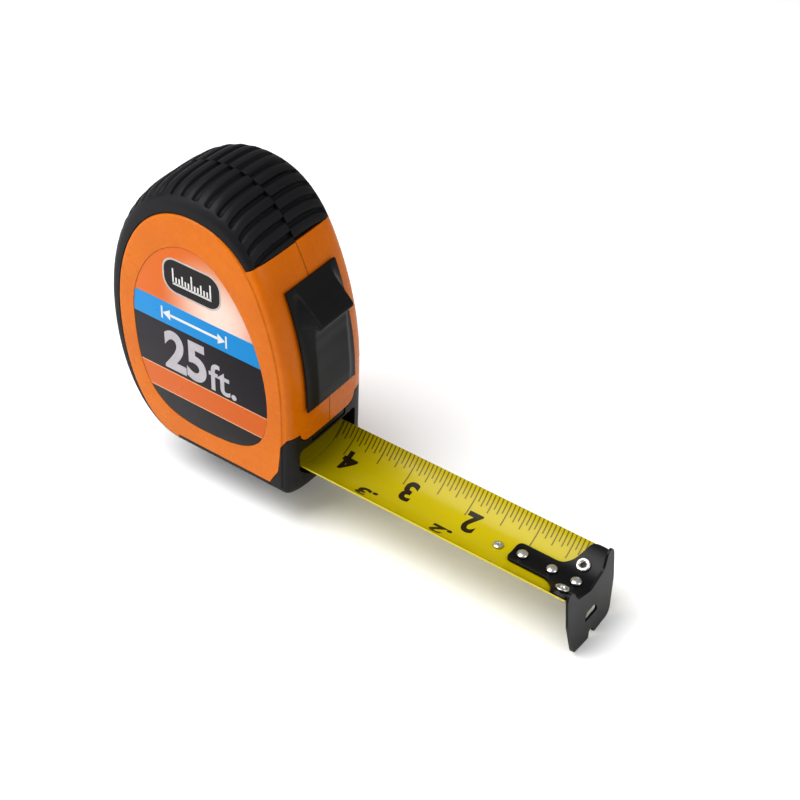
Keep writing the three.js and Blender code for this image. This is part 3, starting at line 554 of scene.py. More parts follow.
def moulded_rubber():
    # Moulded rubber over a spark-eroded tool: nearly black and dull, with a fine even grain that
    # spreads the highlight, and cloudy patches where hands have burnished it.
    rubber, shader = new_material("moulded_rubber_black")
    place = add(rubber, "TexCoord").outputs["Object"]
    cloud = add(rubber, "TexNoise", Vector=place, Scale=6 / (100 * MM), Detail=5.0)
    tone = add(rubber, "ValToRGB", Fac=cloud.outputs["Fac"])
    tone.color_ramp.elements[0].color = linear("101012")
    tone.color_ramp.elements[1].color = linear("1c1c1f")
    link(rubber, tone.outputs["Color"], shader.inputs["Base Color"])
    # Eroded grain is about 0.1 mm; it is drawn at 0.45 mm so that it shows.
    grain = add(rubber, "TexNoise", Vector=place, Scale=1 / (0.45 * MM), Detail=3.0)
    rounded = add(rubber, "Bevel", {"samples": 4}, Radius=0.6 * MM)
    relief = add(rubber, "Bump", Height=grain.outputs["Fac"], Strength=0.35, Distance=0.06 * MM,
                 Normal=rounded.outputs["Normal"])
    link(rubber, relief.outputs["Normal"], shader.inputs["Normal"])
    shine = add(rubber, "MapRange", Value=cloud.outputs["Fac"], To_Min=0.42, To_Max=0.62)
    link(rubber, shine.outputs["Result"], shader.inputs["Roughness"])
    shader.inputs["IOR"].default_value = 1.5
    shader.inputs["Specular IOR Level"].default_value = 0.2
    return rubber


rubber_black = moulded_rubber()
grip_marks = even_marks(0.5)


def ribbed_case(name, side):
    """One half of the case's outside with grooves sunk across the crown and back."""
    plain = case_outline(grip_marks)
    count = len(plain)
    normals, run, length = [], [], 0.0
    for i in range(count):
        along = (plain[(i + 1) % count] - plain[i - 1]).normalized()
        normals.append(Vector((along.y, -along.x)))
        run.append(length)
        length += (plain[(i + 1) % count] - plain[i]).length
    start = next(run[i] for i, mark in enumerate(grip_marks) if mark[0] == 4)
    stop = start + RIB_COUNT * RIB_PITCH
    first = 0.7 * RIB_PITCH if side < 0 else 1.2 * RIB_PITCH
    ends = [RIB_END + d for d in (-1.2, -0.9, -0.6, -0.3, 0, 0.4)]
    shares = [share * PANEL_Y for share in ROLL_ROWS[1:]]
    heights = sorted({SEAM, 1.0, 2.5, 5, 7.5, 10, 12.5, 14.5, 16.3, *ends,
                      *[y for y in shares if y > RIB_END + 0.6]})
    rows = []
    for y in heights:
        outline = case_outline(grip_marks, 0, roll(y))
        row = []
        fade = min(max((RIB_END - y) / 1.2, 0), 1)
        fade = fade * fade * (3 - 2 * fade)
        for i, point in enumerate(outline):
            sink = 0.0
            if start < run[i] < stop:
                offset = (run[i] - start - first + RIB_PITCH / 2) % RIB_PITCH - RIB_PITCH / 2
                reach = max(0.0, 1 - (abs(offset) / (GROOVE_WIDTH / 2 + 0.35)) ** 4)
                crest = 0.22 * (2 * offset / RIB_PITCH) ** 2
                sink = (GROOVE_DEPTH * reach + 0.2 - crest * (1 - reach)) * fade
            spot = point - normals[i] * sink
            row.append((spot.x, side * y, spot.y))
        rows.append(row)
    rows.append([(x, side * (HALF_WIDTH + 0.2), z) for x, y, z in rows[-1]])
    return loft(name, rows, 40)


def rubber_grip(name, side):
    grip = ribbed_case(name, side)
    carve(grip, [grip_zone(0.3)], "INTERSECT")
    carve(grip, [rubber_bed(0.3)])
    return grip


for side, word in ((-1, "left"), (1, "right")):
    grip = rubber_grip(f"rubber_grip_{word}", side)
    finish_piece(grip, rubber_black, "case", "rubber_black", f"grip_{word}")

# ------------------------------------------------------------------ foot, bumper and sole
# The mouth is closed by one black nylon moulding across both halves, with a small rubber bumper
# that the hook lands on. A nylon sole takes the wear under the case.
BLADE_CHORD = 28
BLADE_SAG = 6.8
BLADE_THICKNESS = 0.5
BLADE_EDGE_Z = box_mm("blade")[1].z
BLADE_RADIUS = (BLADE_CHORD ** 2 / 4 + BLADE_SAG ** 2) / (2 * BLADE_SAG)
BLADE_HALF_ANGLE = math.asin(BLADE_CHORD / 2 / BLADE_RADIUS)
BLADE_BOTTOM_Z = BLADE_EDGE_Z - BLADE_SAG


def on_blade(x, arc, lift):
    """A point over the blade: arc is measured across its curve, lift square to its top face."""
    turn = arc / BLADE_RADIUS
    radius = BLADE_RADIUS - lift
    return (x, radius * math.sin(turn), BLADE_BOTTOM_Z + BLADE_RADIUS - radius * math.cos(turn))


def moulded_nylon():
    # Glass-filled nylon from a lightly textured tool: black with a satin sheen and edges that
    # catch the light. Its leathery grain is drawn 0.5 mm across, coarser than real, to show.
    nylon, shader = new_material("moulded_nylon_black")
    place = add(nylon, "TexCoord").outputs["Object"]
    cloud = add(nylon, "TexNoise", Vector=place, Scale=4.5 / (100 * MM), Detail=4.0)
    tone = add(nylon, "ValToRGB", Fac=cloud.outputs["Fac"])
    tone.color_ramp.elements[0].color = linear("0c0c0d")
    tone.color_ramp.elements[1].color = linear("161618")
    link(nylon, tone.outputs["Color"], shader.inputs["Base Color"])
    grain = add(nylon, "TexVoronoi", Vector=place, Scale=1 / (0.5 * MM))
    rounded = add(nylon, "Bevel", {"samples": 4}, Radius=0.5 * MM)
    relief = add(nylon, "Bump", Height=grain.outputs["Distance"], Strength=0.22,
                 Distance=0.05 * MM, Normal=rounded.outputs["Normal"])
    link(nylon, relief.outputs["Normal"], shader.inputs["Normal"])
    shine = add(nylon, "MapRange", Value=cloud.outputs["Fac"], To_Min=0.36, To_Max=0.52)
    link(nylon, shine.outputs["Result"], shader.inputs["Roughness"])
    shader.inputs["IOR"].default_value = 1.53
    shader.inputs["Specular IOR Level"].default_value = 0.2
    return nylon


nylon_black = moulded_nylon()


def mouth_opening():
    """The opening the blade comes out of; its floor follows the blade and its roof is arched."""
    half_arc = BLADE_RADIUS * BLADE_HALF_ANGLE
    drop = -1.8
    floor = [on_blade(0, half_arc * (i / 10 - 1), drop)[1:] for i in range(21)]
    side, roof, corner = BLADE_CHORD / 2 + 1.6, 18, 2
    ring = floor + [(side, BLADE_EDGE_Z), (side, roof - corner)]
    for i in range(1, 7):
        turn = math.pi / 2 * i / 6
        swing = (corner * math.cos(turn), corner * math.sin(turn))
        ring.append((side - corner + swing[0], roof - corner + swing[1]))
    for i in range(7):
        turn = math.pi / 2 * (1 + i / 6)
        swing = (corner * math.cos(turn), corner * math.sin(turn))
        ring.append((corner - side + swing[0], roof - corner + swing[1]))
    ring += [(-side, roof - corner), (-side, BLADE_EDGE_Z)]
    return loft("mouth", [[(x, y, z) for y, z in ring] for x in (FRONT_X - 20, FRONT_X + 10)])


BUMPER_LOW, BUMPER_HIGH = box_mm("mouth_bumper")
foot = whole_case("mouth_foot_shell")
carve(foot, [foot_zone(0)], "INTERSECT")
bumper_seat = block(
    "bumper_seat",
    (FRONT_X - 2, BUMPER_LOW.y - 0.3, BUMPER_LOW.z - 0.3),
    (FRONT_X + 1, BUMPER_HIGH.y + 0.3, BUMPER_HIGH.z + 0.3),
)
carve(foot, [mouth_opening(), bumper_seat])
finish_piece(foot, nylon_black, "case", "nylon_black", "mouth_foot")


def pillow(name, low, high, corner, crown, steps=8):
    """A block with round corners in the Y-Z plane, its +X face crowned and its edge eased."""
    rings = []
    for share in [0.0] + [math.sin(math.pi / 2 * i / 4) for i in range(5)]:
        ease = crown * (1 - math.sqrt(max(0, 1 - share * share)))
        x = high.x - crown + crown * share if rings else low.x
        inset = 0 if len(rings) < 2 else ease
        ring = []
        for quarter in range(4):
            for i in range(steps + 1):
                turn = math.pi / 2 * (quarter + i / steps)
                radius = max(corner - inset, 0.05)
                cy = high.y - corner if quarter in (0, 3) else low.y + corner
                cz = high.z - corner if quarter < 2 else low.z + corner
                ring.append((x, cy + radius * math.cos(turn), cz + radius * math.sin(turn)))
        rings.append(ring)
    return loft(name, rings)


bumper = pillow("mouth_bumper_pad", BUMPER_LOW, BUMPER_HIGH, 1.4, 0.6)
finish_piece(bumper, rubber_black, "case", "rubber_black", "mouth_bumper")

sole = whole_case("base_sole_plate")
flat_y = SOLE_RIM_Y + 0.1
sole_zone = block("sole_zone", (HEEL_X, -flat_y, -2), (FRONT_X - 9.3, flat_y, SOLE_TOP))
for low_y, high_y in ((-30, -SOLE_RIM_Y), (SOLE_RIM_Y, 30)):
    rim = block("rim_zone", (HEEL_X, low_y, -2), (FRONT_X - 9.3, high_y, SOLE_RIM_TOP))
    carve(sole_zone, [rim], "UNION")
carve(sole, [sole_zone], "INTERSECT")
finish_piece(sole, nylon_black, "case", "nylon_black", "base_sole")

# ------------------------------------------------------------------ side label
# A printed polyester film in the recess of the label side: an orange fade, a blue band, a dark
# band with the blade's length, and an orange foot. The emblem is a plain ruler mark.
LABEL_FACE_Y = -HALF_WIDTH + 0.05
LABEL_CENTRE_X = (box_mm("label_left")[0].x + box_mm("label_left")[1].x) / 2


def printed_film():
    # Screen-printed film: flat inks under a gloss laminate with a slight orange-peel ripple.
    film, shader = new_material("printed_polyester_film")
    place = add(film, "TexCoord").outputs["Object"]
    axes = add(film, "SeparateXYZ", Vector=place)
    height = add(film, "MapRange", Value=axes.outputs["Z"], From_Min=0.0, From_Max=100 * MM)
    bands = add(film, "ValToRGB", Fac=height.outputs["Result"])
    bands.color_ramp.interpolation = "CONSTANT"
    inks = [
        (0.0, "100a0e"), (0.213, "d6a07c"), (0.217, "c05c12"), (0.305, "d6a07c"), (0.309, "140d15"),
        (0.508, "0a7fbc"), (0.602, "c26016"),
    ]
    while len(bands.color_ramp.elements) < len(inks):
        bands.color_ramp.elements.new(1.0)
    for stop, (position, ink) in zip(bands.color_ramp.elements, inks):
        stop.position = position
        stop.color = linear(ink)
    # The fade: pale in the middle and towards the front, full orange at the crown and the back.
    glow = add(film, "VectorMath", {"operation": "DISTANCE"}, i0=place,
               i1=(LABEL_CENTRE_X * MM + 0.009, LABEL_FACE_Y * MM, 0.064))
    pale = add(film, "MapRange", {"interpolation_type": "SMOOTHSTEP"},
               Value=glow.outputs["Value"], From_Min=0.002, From_Max=0.026, To_Min=1.0, To_Max=0.0)
    above = add(film, "Math", {"operation": "GREATER_THAN"}, i0=axes.outputs["Z"], i1=60.2 * MM)
    share = add(film, "Math", {"operation": "MULTIPLY"}, i0=pale.outputs["Result"],
                i1=above.outputs["Value"])
    print_colour = add(film, "Mix", {"data_type": "RGBA"}, Factor=share.outputs["Value"],
                       A=bands.outputs["Color"], B=linear("dcc4b8"))
    link(film, print_colour.outputs["Result"], shader.inputs["Base Color"])
    ripple = add(film, "TexNoise", Vector=place, Scale=1 / (4 * MM), Detail=0.0)
    relief = add(film, "Bump", Height=ripple.outputs["Fac"], Strength=0.05, Distance=0.03 * MM)
    link(film, relief.outputs["Normal"], shader.inputs["Normal"])
    scuff = add(film, "TexNoise", Vector=place, Scale=12 / (100 * MM), Detail=3.0)
    gloss = add(film, "MapRange", Value=scuff.outputs["Fac"], To_Min=0.22, To_Max=0.38)
    link(film, gloss.outputs["Result"], shader.inputs["Roughness"])
    shader.inputs["Specular IOR Level"].default_value = 0.2
    return film


label_rows = [(0.0, LABEL_FACE_Y + 0.3), (0.0, LABEL_FACE_Y + 0.08), (-0.03, LABEL_FACE_Y + 0.02),
              (-0.1, LABEL_FACE_Y)]
label = loft("side_label_film", [
    [(x, y, z) for x, z in label_outline(grow, 24)] for grow, y in label_rows])
finish_piece(label, printed_film(), "case", "label_film", "label_left")


def screen_ink(name, hex_colour, speckle):
    # One solid pass of screen ink: even colour, a little uneven in gloss where it lies thin.
    ink, shader = new_material(name)
    place = add(ink, "TexCoord").outputs["Object"]
    thin = add(ink, "TexNoise", Vector=place, Scale=1 / (2.5 * MM), Detail=4.0)
    tone = add(ink, "Mix", {"data_type": "RGBA"}, Factor=thin.outputs["Fac"],
               A=linear(hex_colour), B=linear(speckle))
    link(ink, tone.outputs["Result"], shader.inputs["Base Color"])
    gloss = add(ink, "MapRange", Value=thin.outputs["Fac"], To_Min=0.3, To_Max=0.5)
    link(ink, gloss.outputs["Result"], shader.inputs["Roughness"])
    shader.inputs["Specular IOR Level"].default_value = 0.2
    return ink


INK_DEPTH = 0.03


def lettering(text, height, weight, stretch=1.0):
    """Figures as a closed flat solid in its own plane, centred on nought, in millimetres."""
    curve = bpy.data.curves.new(text, "FONT")
    curve.body = text
    curve.align_x = "CENTER"
    curve.size = height / 0.7
    curve.offset = weight
    curve.extrude = INK_DEPTH / 2
    curve.resolution_u = 8
    holder = bpy.data.objects.new(text, curve)
    bpy.context.scene.collection.objects.link(holder)
    graph = bpy.context.evaluated_depsgraph_get()
    mesh = bpy.data.meshes.new_from_object(holder.evaluated_get(graph))
    bpy.data.objects.remove(holder)
    work = bmesh.new()
    work.from_mesh(mesh)
    bmesh.ops.remove_doubles(work, verts=work.verts, dist=0.002)
    for v in work.verts:
        v.co.x *= stretch
        v.co.y -= height / 2
    return work


def plate(outline, depth=INK_DEPTH):
    """A flat plate of that outline in its own plane, as lettering() gives figures."""
    work = bmesh.new()
    low = [work.verts.new((x, y, -depth / 2)) for x, y in outline]
    high = [work.verts.new((x, y, depth / 2)) for x, y in outline]
    work.faces.new(list(reversed(low)))
    work.faces.new(high)
    for i in range(len(outline)):
        j = (i + 1) % len(outline)
        work.faces.new((low[i], low[j], high[j], high[i]))
    return work


def printed(name, shapes, place_at):
    """One object from flat shapes; place_at takes a shape's plane point to the row frame."""
    mesh = bpy.data.meshes.new(name)
    whole = bmesh.new()
    for work, where in shapes:
        for v in work.verts:
            v.co = Vector(place_at(v.co, *where)) * MM
        part = bpy.data.meshes.new("part")
        work.to_mesh(part)
        work.free()
        whole.from_mesh(part)
        bpy.data.meshes.remove(part)
    bmesh.ops.recalc_face_normals(whole, faces=whole.faces)
    whole.to_mesh(mesh)
    whole.free()
    made = bpy.data.objects.new(name, mesh)
    bpy.context.scene.collection.objects.link(made)
    crisp(made)
    return made


def on_label(point, x, z, layer):
    return (x + point.x, LABEL_FACE_Y - 0.005 - layer * 0.006 - point.z * 0.3, z + point.y)


def rounded_plate(width, height, corner, steps=8):
    points = []
    for quarter, (sx, sy) in enumerate(((1, 1), (-1, 1), (-1, -1), (1, -1))):
        for i in range(steps + 1):
            turn = math.pi / 2 * (quarter + i / steps)
            points.append((sx * (width / 2 - corner) + corner * math.cos(turn),
                           sy * (height / 2 - corner) + corner * math.sin(turn)))
    return plate(points)


def bar(x, y, width, height):
    return plate([(x - width / 2, y - height / 2), (x + width / 2, y - height / 2),
                  (x + width / 2, y + height / 2), (x - width / 2, y + height / 2)])


EMBLEM = (FRONT_X - 40.7, 73.0)
white_shapes = [
    (lettering("25", 15.4, 0.75, 0.86), (FRONT_X - 45.0, 40.9, 1)),
    (lettering("ft.", 11.4, 0.2, 0.95), (FRONT_X - 28.8, 38.2, 1)),
]
finish_piece(printed("label_figures", white_shapes, on_label),
             screen_ink("screen_ink_grey", "b4b0b4", "9f9ba0"), "case", "label_film")
emblem_edge = [(rounded_plate(25, 14.2, 5.6), (*EMBLEM, 0.4))]
finish_piece(printed("label_emblem_edge", emblem_edge, on_label),
             screen_ink("screen_ink_silver", "b9b2ae", "a39c98"), "case", "label_film")
emblem_ground = [(rounded_plate(23.6, 12.8, 4.9), (*EMBLEM, 1))]
finish_piece(printed("label_emblem_ground", emblem_ground, on_label),
             screen_ink("screen_ink_black", "120f11", "1a1618"), "case", "label_film")
ruler = [(bar(0, -3.0, 16.6, 0.9), (*EMBLEM, 1.6))]
for tick in range(13):
    tall = 6.0 if tick % 6 == 0 else 4.2 if tick % 3 == 0 else 2.7
    ruler.append((bar(-7.95 + tick * 1.325, -3.0 + tall / 2, 0.65, tall), (*EMBLEM, 1.6)))
for side in (-1, 1):
    arrow = plate([(side * 13.5, 0), (side * 10.3, 2.1 * side), (side * 10.3, -2.1 * side)])
    ruler.append((arrow, (LABEL_CENTRE_X - 2, 55.6, 1)))
    ruler.append((bar(side * 13.9, 0, 0.7, 5.0), (LABEL_CENTRE_X - 2, 55.6, 1)))
ruler.append((bar(0, 0, 20.8, 1.1), (LABEL_CENTRE_X - 2, 55.6, 1)))
finish_piece(printed("label_ruler_mark", ruler, on_label),
             screen_ink("screen_ink_white", "d6d4d3", "c6c4c3"), "case", "label_film")

# ------------------------------------------------------------------ thumb lock
# A black nylon lever on the leaning front. A thumb works it by the ridge; below the ridge its face
# is barely hollowed, and its sides fall away to the edges of the window it closes.
LOCK_LOW, LOCK_HIGH = box_mm("lock_button")
LOCK_PROFILE = [
    (0, 1.2), (0.03, 2.0), (0.12, 2.3), (0.3, 2.4), (0.5, 2.9), (0.62, 3.7), (0.7, 4.6),
    (0.715, 5.0), (0.722, 6.2), (0.73, 7.5), (0.745, 7.95), (0.76, 7.9), (0.79, 6.9), (0.84, 5.3),
    (0.92, 2.9), (1, 1.1),
]


def smooth_through(table, at):
    """The value at a place along a table of (place, value), without overshoot between them."""
    if at <= table[0][0]:
        return table[0][1]
    for (a, low), (b, high) in zip(table, table[1:]):
        if at <= b:
            t = (at - a) / (b - a)
            return low + (high - low) * t * t * (3 - 2 * t) * 0.5 + (high - low) * t * 0.5
    return table[-1][1]


def lock_front_x(z, out):
    return FRONT_CENTRE_X + math.sqrt((FRONT_RADIUS + out) ** 2 - (z - NOSE_HEIGHT) ** 2)


def lock_slide():
    heights = sorted({i / 56 for i in range(57)} | {share for share, out in LOCK_PROFILE})
    swell = [(0, 1.0), (8.2, 1.0), (8.8, 0.94), (9.3, 0.7), (10.4, 0.3), (11.4, 0.1), (13, 0.0)]
    half = [0, 2, 4, 6, 7.2, 7.8, 8.3, 8.8, 9.3, 10, 10.8, 11.6, 12.3, 12.7, 12.9, 13]
    rings = []
    for y in [-v for v in reversed(half[1:])] + half:
        share_y = smooth_through(swell, abs(y))
        outer, inner = [], []
        for share in heights:
            z = LOCK_LOW.z + (LOCK_HIGH.z - LOCK_LOW.z) * share
            dish = 0.25 * math.sin(math.pi * min(share / 0.68, 1)) * max(0, 1 - (y / 8) ** 2)
            proud = 1.1 + (smooth_through(LOCK_PROFILE, share) - 1.1 - dish) * share_y
            outer.append((lock_front_x(z, max(proud, 1.0)), y, z))
            inner.append((lock_front_x(z, 0.4), y, z))
        rings.append(outer + inner[::-1])
    return loft("thumb_lock_slide", rings, 45)


lock_slide_piece = lock_slide()
stem = block("stem", (FRONT_X - 7, -5, 50), (lock_front_x(50, 0.8), 5, 57))
carve(lock_slide_piece, [stem], "UNION")
finish_piece(lock_slide_piece, nylon_black, "lock", "nylon_black", "lock_button")

# ------------------------------------------------------------------ blade
# Spring steel strip, curled across its width so that it stands out by itself. It is drawn 0.5 mm
# thick, more than the real strip, so that it stays one solid. Inches to sixteenths are printed
# along the far edge and hundredths of a foot along the near one.
HOOK_FACE_X = box_mm("blade")[1].x + 0.4
BLADE_IN_X = box_mm("blade")[0].x
INCH = 25.4
TENTH_FOOT = 30.48


def blade_strip():
    half_arc = BLADE_RADIUS * BLADE_HALF_ANGLE
    columns = [half_arc * (i / 24 - 1) for i in range(49)]
    rings, marks = [], []
    stations = [BLADE_IN_X + (HOOK_FACE_X - 0.4 - BLADE_IN_X) * i / 40 for i in range(41)]
    for x in stations:
        top = [on_blade(x, arc, 0) for arc in columns]
        under = [on_blade(x, arc, -BLADE_THICKNESS) for arc in reversed(columns)]
        rings.append(top + under)
        marks += [(HOOK_FACE_X - x, arc, 1.0) for arc in columns]
        marks += [(HOOK_FACE_X - x, arc, 0.0) for arc in reversed(columns)]
    strip = loft("blade_strip", rings, 50)
    printed_at = strip.data.attributes.new("printed_at", "FLOAT_VECTOR", "POINT")
    printed_at.data.foreach_set("vector", [value for mark in marks for value in mark])
    return strip


def lacquered_steel():
    # Yellow stoved lacquer on spring steel under a thin clear coat, with olive graduations. Roller
    # marks about 20 mm long break the gloss along the strip. Real graduations are some 0.2 mm
    # wide; they are drawn 0.48 and 0.4 mm wide so that they show.
    coat, shader = new_material("lacquered_spring_steel_yellow")
    mark = add(coat, "Attribute", {"attribute_name": "printed_at"}).outputs["Vector"]
    axes = add(coat, "SeparateXYZ", Vector=mark)
    along, arc, face = axes.outputs["X"], axes.outputs["Y"], axes.outputs["Z"]
    half_arc = BLADE_RADIUS * BLADE_HALF_ANGLE

    def number(operation, first, second):
        return add(coat, "Math", {"operation": operation}, i0=first, i1=second).outputs["Value"]

    def graduation(pitch, width, reach):
        """Lines every pitch, that wide, running in from an edge by reach."""
        away = number("PINGPONG", along, pitch / 2)
        return number("MULTIPLY", number("LESS_THAN", away, width / 2),
                      number("LESS_THAN", reach[0], reach[1]))

    far_edge = number("SUBTRACT", half_arc, arc)
    near_edge = number("ADD", half_arc, arc)
    lines = None
    for pitch, length in ((16, 4.8), (8, 5.9), (4, 7.0), (2, 8.8), (1, 11.2)):
        row = graduation(INCH / pitch, 0.48, (far_edge, length))
        lines = row if lines is None else number("MAXIMUM", lines, row)
    for pitch, length in ((10, 2.2), (2, 3.4), (1, 5.0)):
        lines = number("MAXIMUM", lines, graduation(TENTH_FOOT / pitch, 0.4, (near_edge, length)))
    lines = number("MULTIPLY", lines, number("GREATER_THAN", face, 0.999))
    clear_of_hook = number("MULTIPLY", lines, number("GREATER_THAN", along, 0.6))

    place = add(coat, "TexCoord").outputs["Object"]
    cloud = add(coat, "TexNoise", Vector=place, Scale=3 / (100 * MM), Detail=3.0)
    tone = add(coat, "ValToRGB", Fac=cloud.outputs["Fac"])
    tone.color_ramp.elements[0].color = linear("ad9d00")
    tone.color_ramp.elements[1].color = linear("b9a900")
    print_colour = add(coat, "Mix", {"data_type": "RGBA"}, Factor=clear_of_hook,
                       A=tone.outputs["Color"], B=linear("6a5c00"))
    link(coat, print_colour.outputs["Result"], shader.inputs["Base Color"])
    drawn = add(coat, "Mapping", Vector=mark, Scale=(0.05, 6.0, 1.0))
    roller = add(coat, "TexNoise", Vector=drawn.outputs["Vector"], Scale=1.0, Detail=4.0)
    gloss = add(coat, "MapRange", Value=roller.outputs["Fac"], To_Min=0.22, To_Max=0.36)
    link(coat, gloss.outputs["Result"], shader.inputs["Roughness"])
    relief = add(coat, "Bump", Height=roller.outputs["Fac"], Strength=0.05, Distance=0.02 * MM)
    link(coat, relief.outputs["Normal"], shader.inputs["Normal"])
    shader.inputs["Coat Weight"].default_value = 0.06
    shader.inputs["Specular IOR Level"].default_value = 0.2
    shader.inputs["Coat Roughness"].default_value = 0.12
    return coat


blade_yellow = lacquered_steel()
blade = blade_strip()
finish_piece(blade, blade_yellow, "case", "blade_yellow", "blade")


def on_blade_print(point, x, arc):
    """Figures on the blade stand with their heads to the near edge, as the tape is read."""
    return on_blade(x - point.x, arc - point.y, 0.02 + point.z)


def sliced(work, step=0.8):
    """Cuts a flat shape across at even steps, so that it bends with the blade."""
    top = max(v.co.y for v in work.verts)
    level = min(v.co.y for v in work.verts) + step
    while level < top - 0.01:
        parts = list(work.verts) + list(work.edges) + list(work.faces)
        bmesh.ops.bisect_plane(
            work, geom=parts, dist=1e-5, plane_co=(0, level, 0), plane_no=(0, 1, 0))
        level += step
    return work


figures = []
for inch in (2, 3, 4):
    figure = sliced(lettering(str(inch), 8.2, 0.4, 0.95))
    figures.append((figure, (HOOK_FACE_X - inch * INCH + 3.6, 3.0)))
for tenth in (2, 3):
    x = HOOK_FACE_X - tenth * TENTH_FOOT + 8.0
    figures.append((sliced(lettering(f".{tenth}", 6.0, 0.32, 1.2)), (x, -7.5)))
blade_figures = printed("blade_figures", figures, on_blade_print)
blade_ink = screen_ink("printing_ink_black", "241c08", "30260c")
finish_piece(blade_figures, blade_ink, "case", "blade_yellow")
for strip in (blade, blade_figures):
    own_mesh(strip)

# ------------------------------------------------------------------ end hook
# A stamped steel hook, blackened and lacquered: a tongue and a shoulder that hug the blade's
# curve, and a flange with two fangs and a nail slot that hooks over the work.
HOOK_THICKNESS = 0.9
HOOK_LEAN = math.radians(6)


def blackened_steel():
    # Black oxide under thin lacquer on stamped sheet: near-black with a cold satin gleam, and a
    # thread of bare grey on the stamped edges. The grain is drawn 0.35 mm across so that it shows.
    steel, shader = new_material("blackened_steel")
    place = add(steel, "TexCoord").outputs["Object"]
    cloud = add(steel, "TexNoise", Vector=place, Scale=9 / (100 * MM), Detail=5.0)
    tone = add(steel, "ValToRGB", Fac=cloud.outputs["Fac"])
    tone.color_ramp.elements[0].color = linear("0b0b0c")
    tone.color_ramp.elements[1].color = linear("161618")
    rounded = add(steel, "Bevel", {"samples": 4}, Radius=0.25 * MM)
    facing = add(steel, "VectorMath", {"operation": "DOT_PRODUCT"}, i0=rounded.outputs["Normal"],
                 i1=add(steel, "NewGeometry").outputs["Normal"])
    edge = add(steel, "MapRange", Value=facing.outputs["Value"], From_Min=0.98, From_Max=0.8,
               To_Max=0.45)
    worn = add(steel, "Mix", {"data_type": "RGBA"}, Factor=edge.outputs["Result"],
               A=tone.outputs["Color"], B=linear("4a4a4e"))
    link(steel, worn.outputs["Result"], shader.inputs["Base Color"])
    grain = add(steel, "TexNoise", Vector=place, Scale=1 / (0.35 * MM), Detail=4.0)
    relief = add(steel, "Bump", Height=grain.outputs["Fac"], Strength=0.15, Distance=0.03 * MM,
                 Normal=rounded.outputs["Normal"])
    link(steel, relief.outputs["Normal"], shader.inputs["Normal"])
    shine = add(steel, "MapRange", Value=cloud.outputs["Fac"], To_Min=0.26, To_Max=0.42)
    link(steel, shine.outputs["Result"], shader.inputs["Roughness"])
    shader.inputs["Metallic"].default_value = 0.3
    shader.inputs["Specular IOR Level"].default_value = 0.25
    return steel


def hook_sheet():
    """The tongue and the shoulder, which widens to the flange, bent to the blade's curve."""
    tail, shoulder, edge = box_mm("hook")[0].x, HOOK_FACE_X - 9, HOOK_FACE_X + 0.6
    arc = BLADE_RADIUS * BLADE_HALF_ANGLE + 0.4
    outline = eased([
        (tail, -4.8), (shoulder - 3.5, -4.8), (shoulder - 0.6, -7.8), (shoulder + 2.6, -arc),
        (edge, -arc), (edge, arc), (shoulder + 2.6, arc), (shoulder - 0.6, 7.8),
        (shoulder - 3.5, 4.8), (tail, 4.8),
    ], 2.4)
    work = sliced(plate(outline, HOOK_THICKNESS), 0.7)
    for v in work.verts:
        v.co = Vector(on_blade(v.co.x, v.co.y, 0.3 + HOOK_THICKNESS / 2 + v.co.z))
    faces = [[v.index for v in f.verts] for f in work.faces]
    work.verts.ensure_lookup_table()
    made = piece("end_hook_plate", [v.co.copy() for v in work.verts], faces)
    work.free()
    return made


def hook_flange():
    """The flange, cut flat with its fangs, notch and nail slot, then leant out."""
    half = box_mm("hook")[1].y
    low = box_mm("hook")[0].z
    top = box_mm("hook")[1].z
    crest = BLADE_BOTTOM_Z + 1.0
    right_side = [
        (0, crest), (8.4, BLADE_EDGE_Z - 3.4), (half - 3.6, top - 0.9), (half - 1.4, top),
        (half, top - 2), (half, BLADE_EDGE_Z - 11), (half - 2.4, low + 2.6), (half - 4, low + 0.7),
        (1.6, low), (1.3, low + 2.8),
    ]
    outline = right_side + [(-y, z) for y, z in reversed(right_side[1:])]
    flange = loft("flange", [
        [(x, y, z) for y, z in eased(outline, 1.1)] for x in (0, HOOK_THICKNESS)])
    slot_low, slot_high = BLADE_EDGE_Z - 17, BLADE_EDGE_Z - 13.4
    nail_slot = eased([(-4.2, slot_low), (4.2, slot_low), (2.8, slot_high), (-2.8, slot_high)], 1.2)
    carve(flange, [loft("nail_slot", [[(x, y, z) for y, z in nail_slot] for x in (-3, 4)])])
    for v in flange.data.vertices:
        x, z = v.co.x / MM, v.co.z / MM - BLADE_EDGE_Z
        v.co.x = (HOOK_FACE_X + x * math.cos(HOOK_LEAN) - z * math.sin(HOOK_LEAN)) * MM
        v.co.z = (BLADE_EDGE_Z + z * math.cos(HOOK_LEAN) + x * math.sin(HOOK_LEAN)) * MM
    return flange


end_hook = carve(hook_sheet(), [hook_flange()], "UNION")
steel_black = blackened_steel()
finish_piece(end_hook, steel_black, "end_hook", "steel_black", "hook")

# ------------------------------------------------------------------ rivets and eyelets
# Three domed rivets hold the tongue in slots that let it float; two hollow eyelets pass through
# the shoulder and the blade. One more rivet stops the blade in the case. All are nickel-plated.


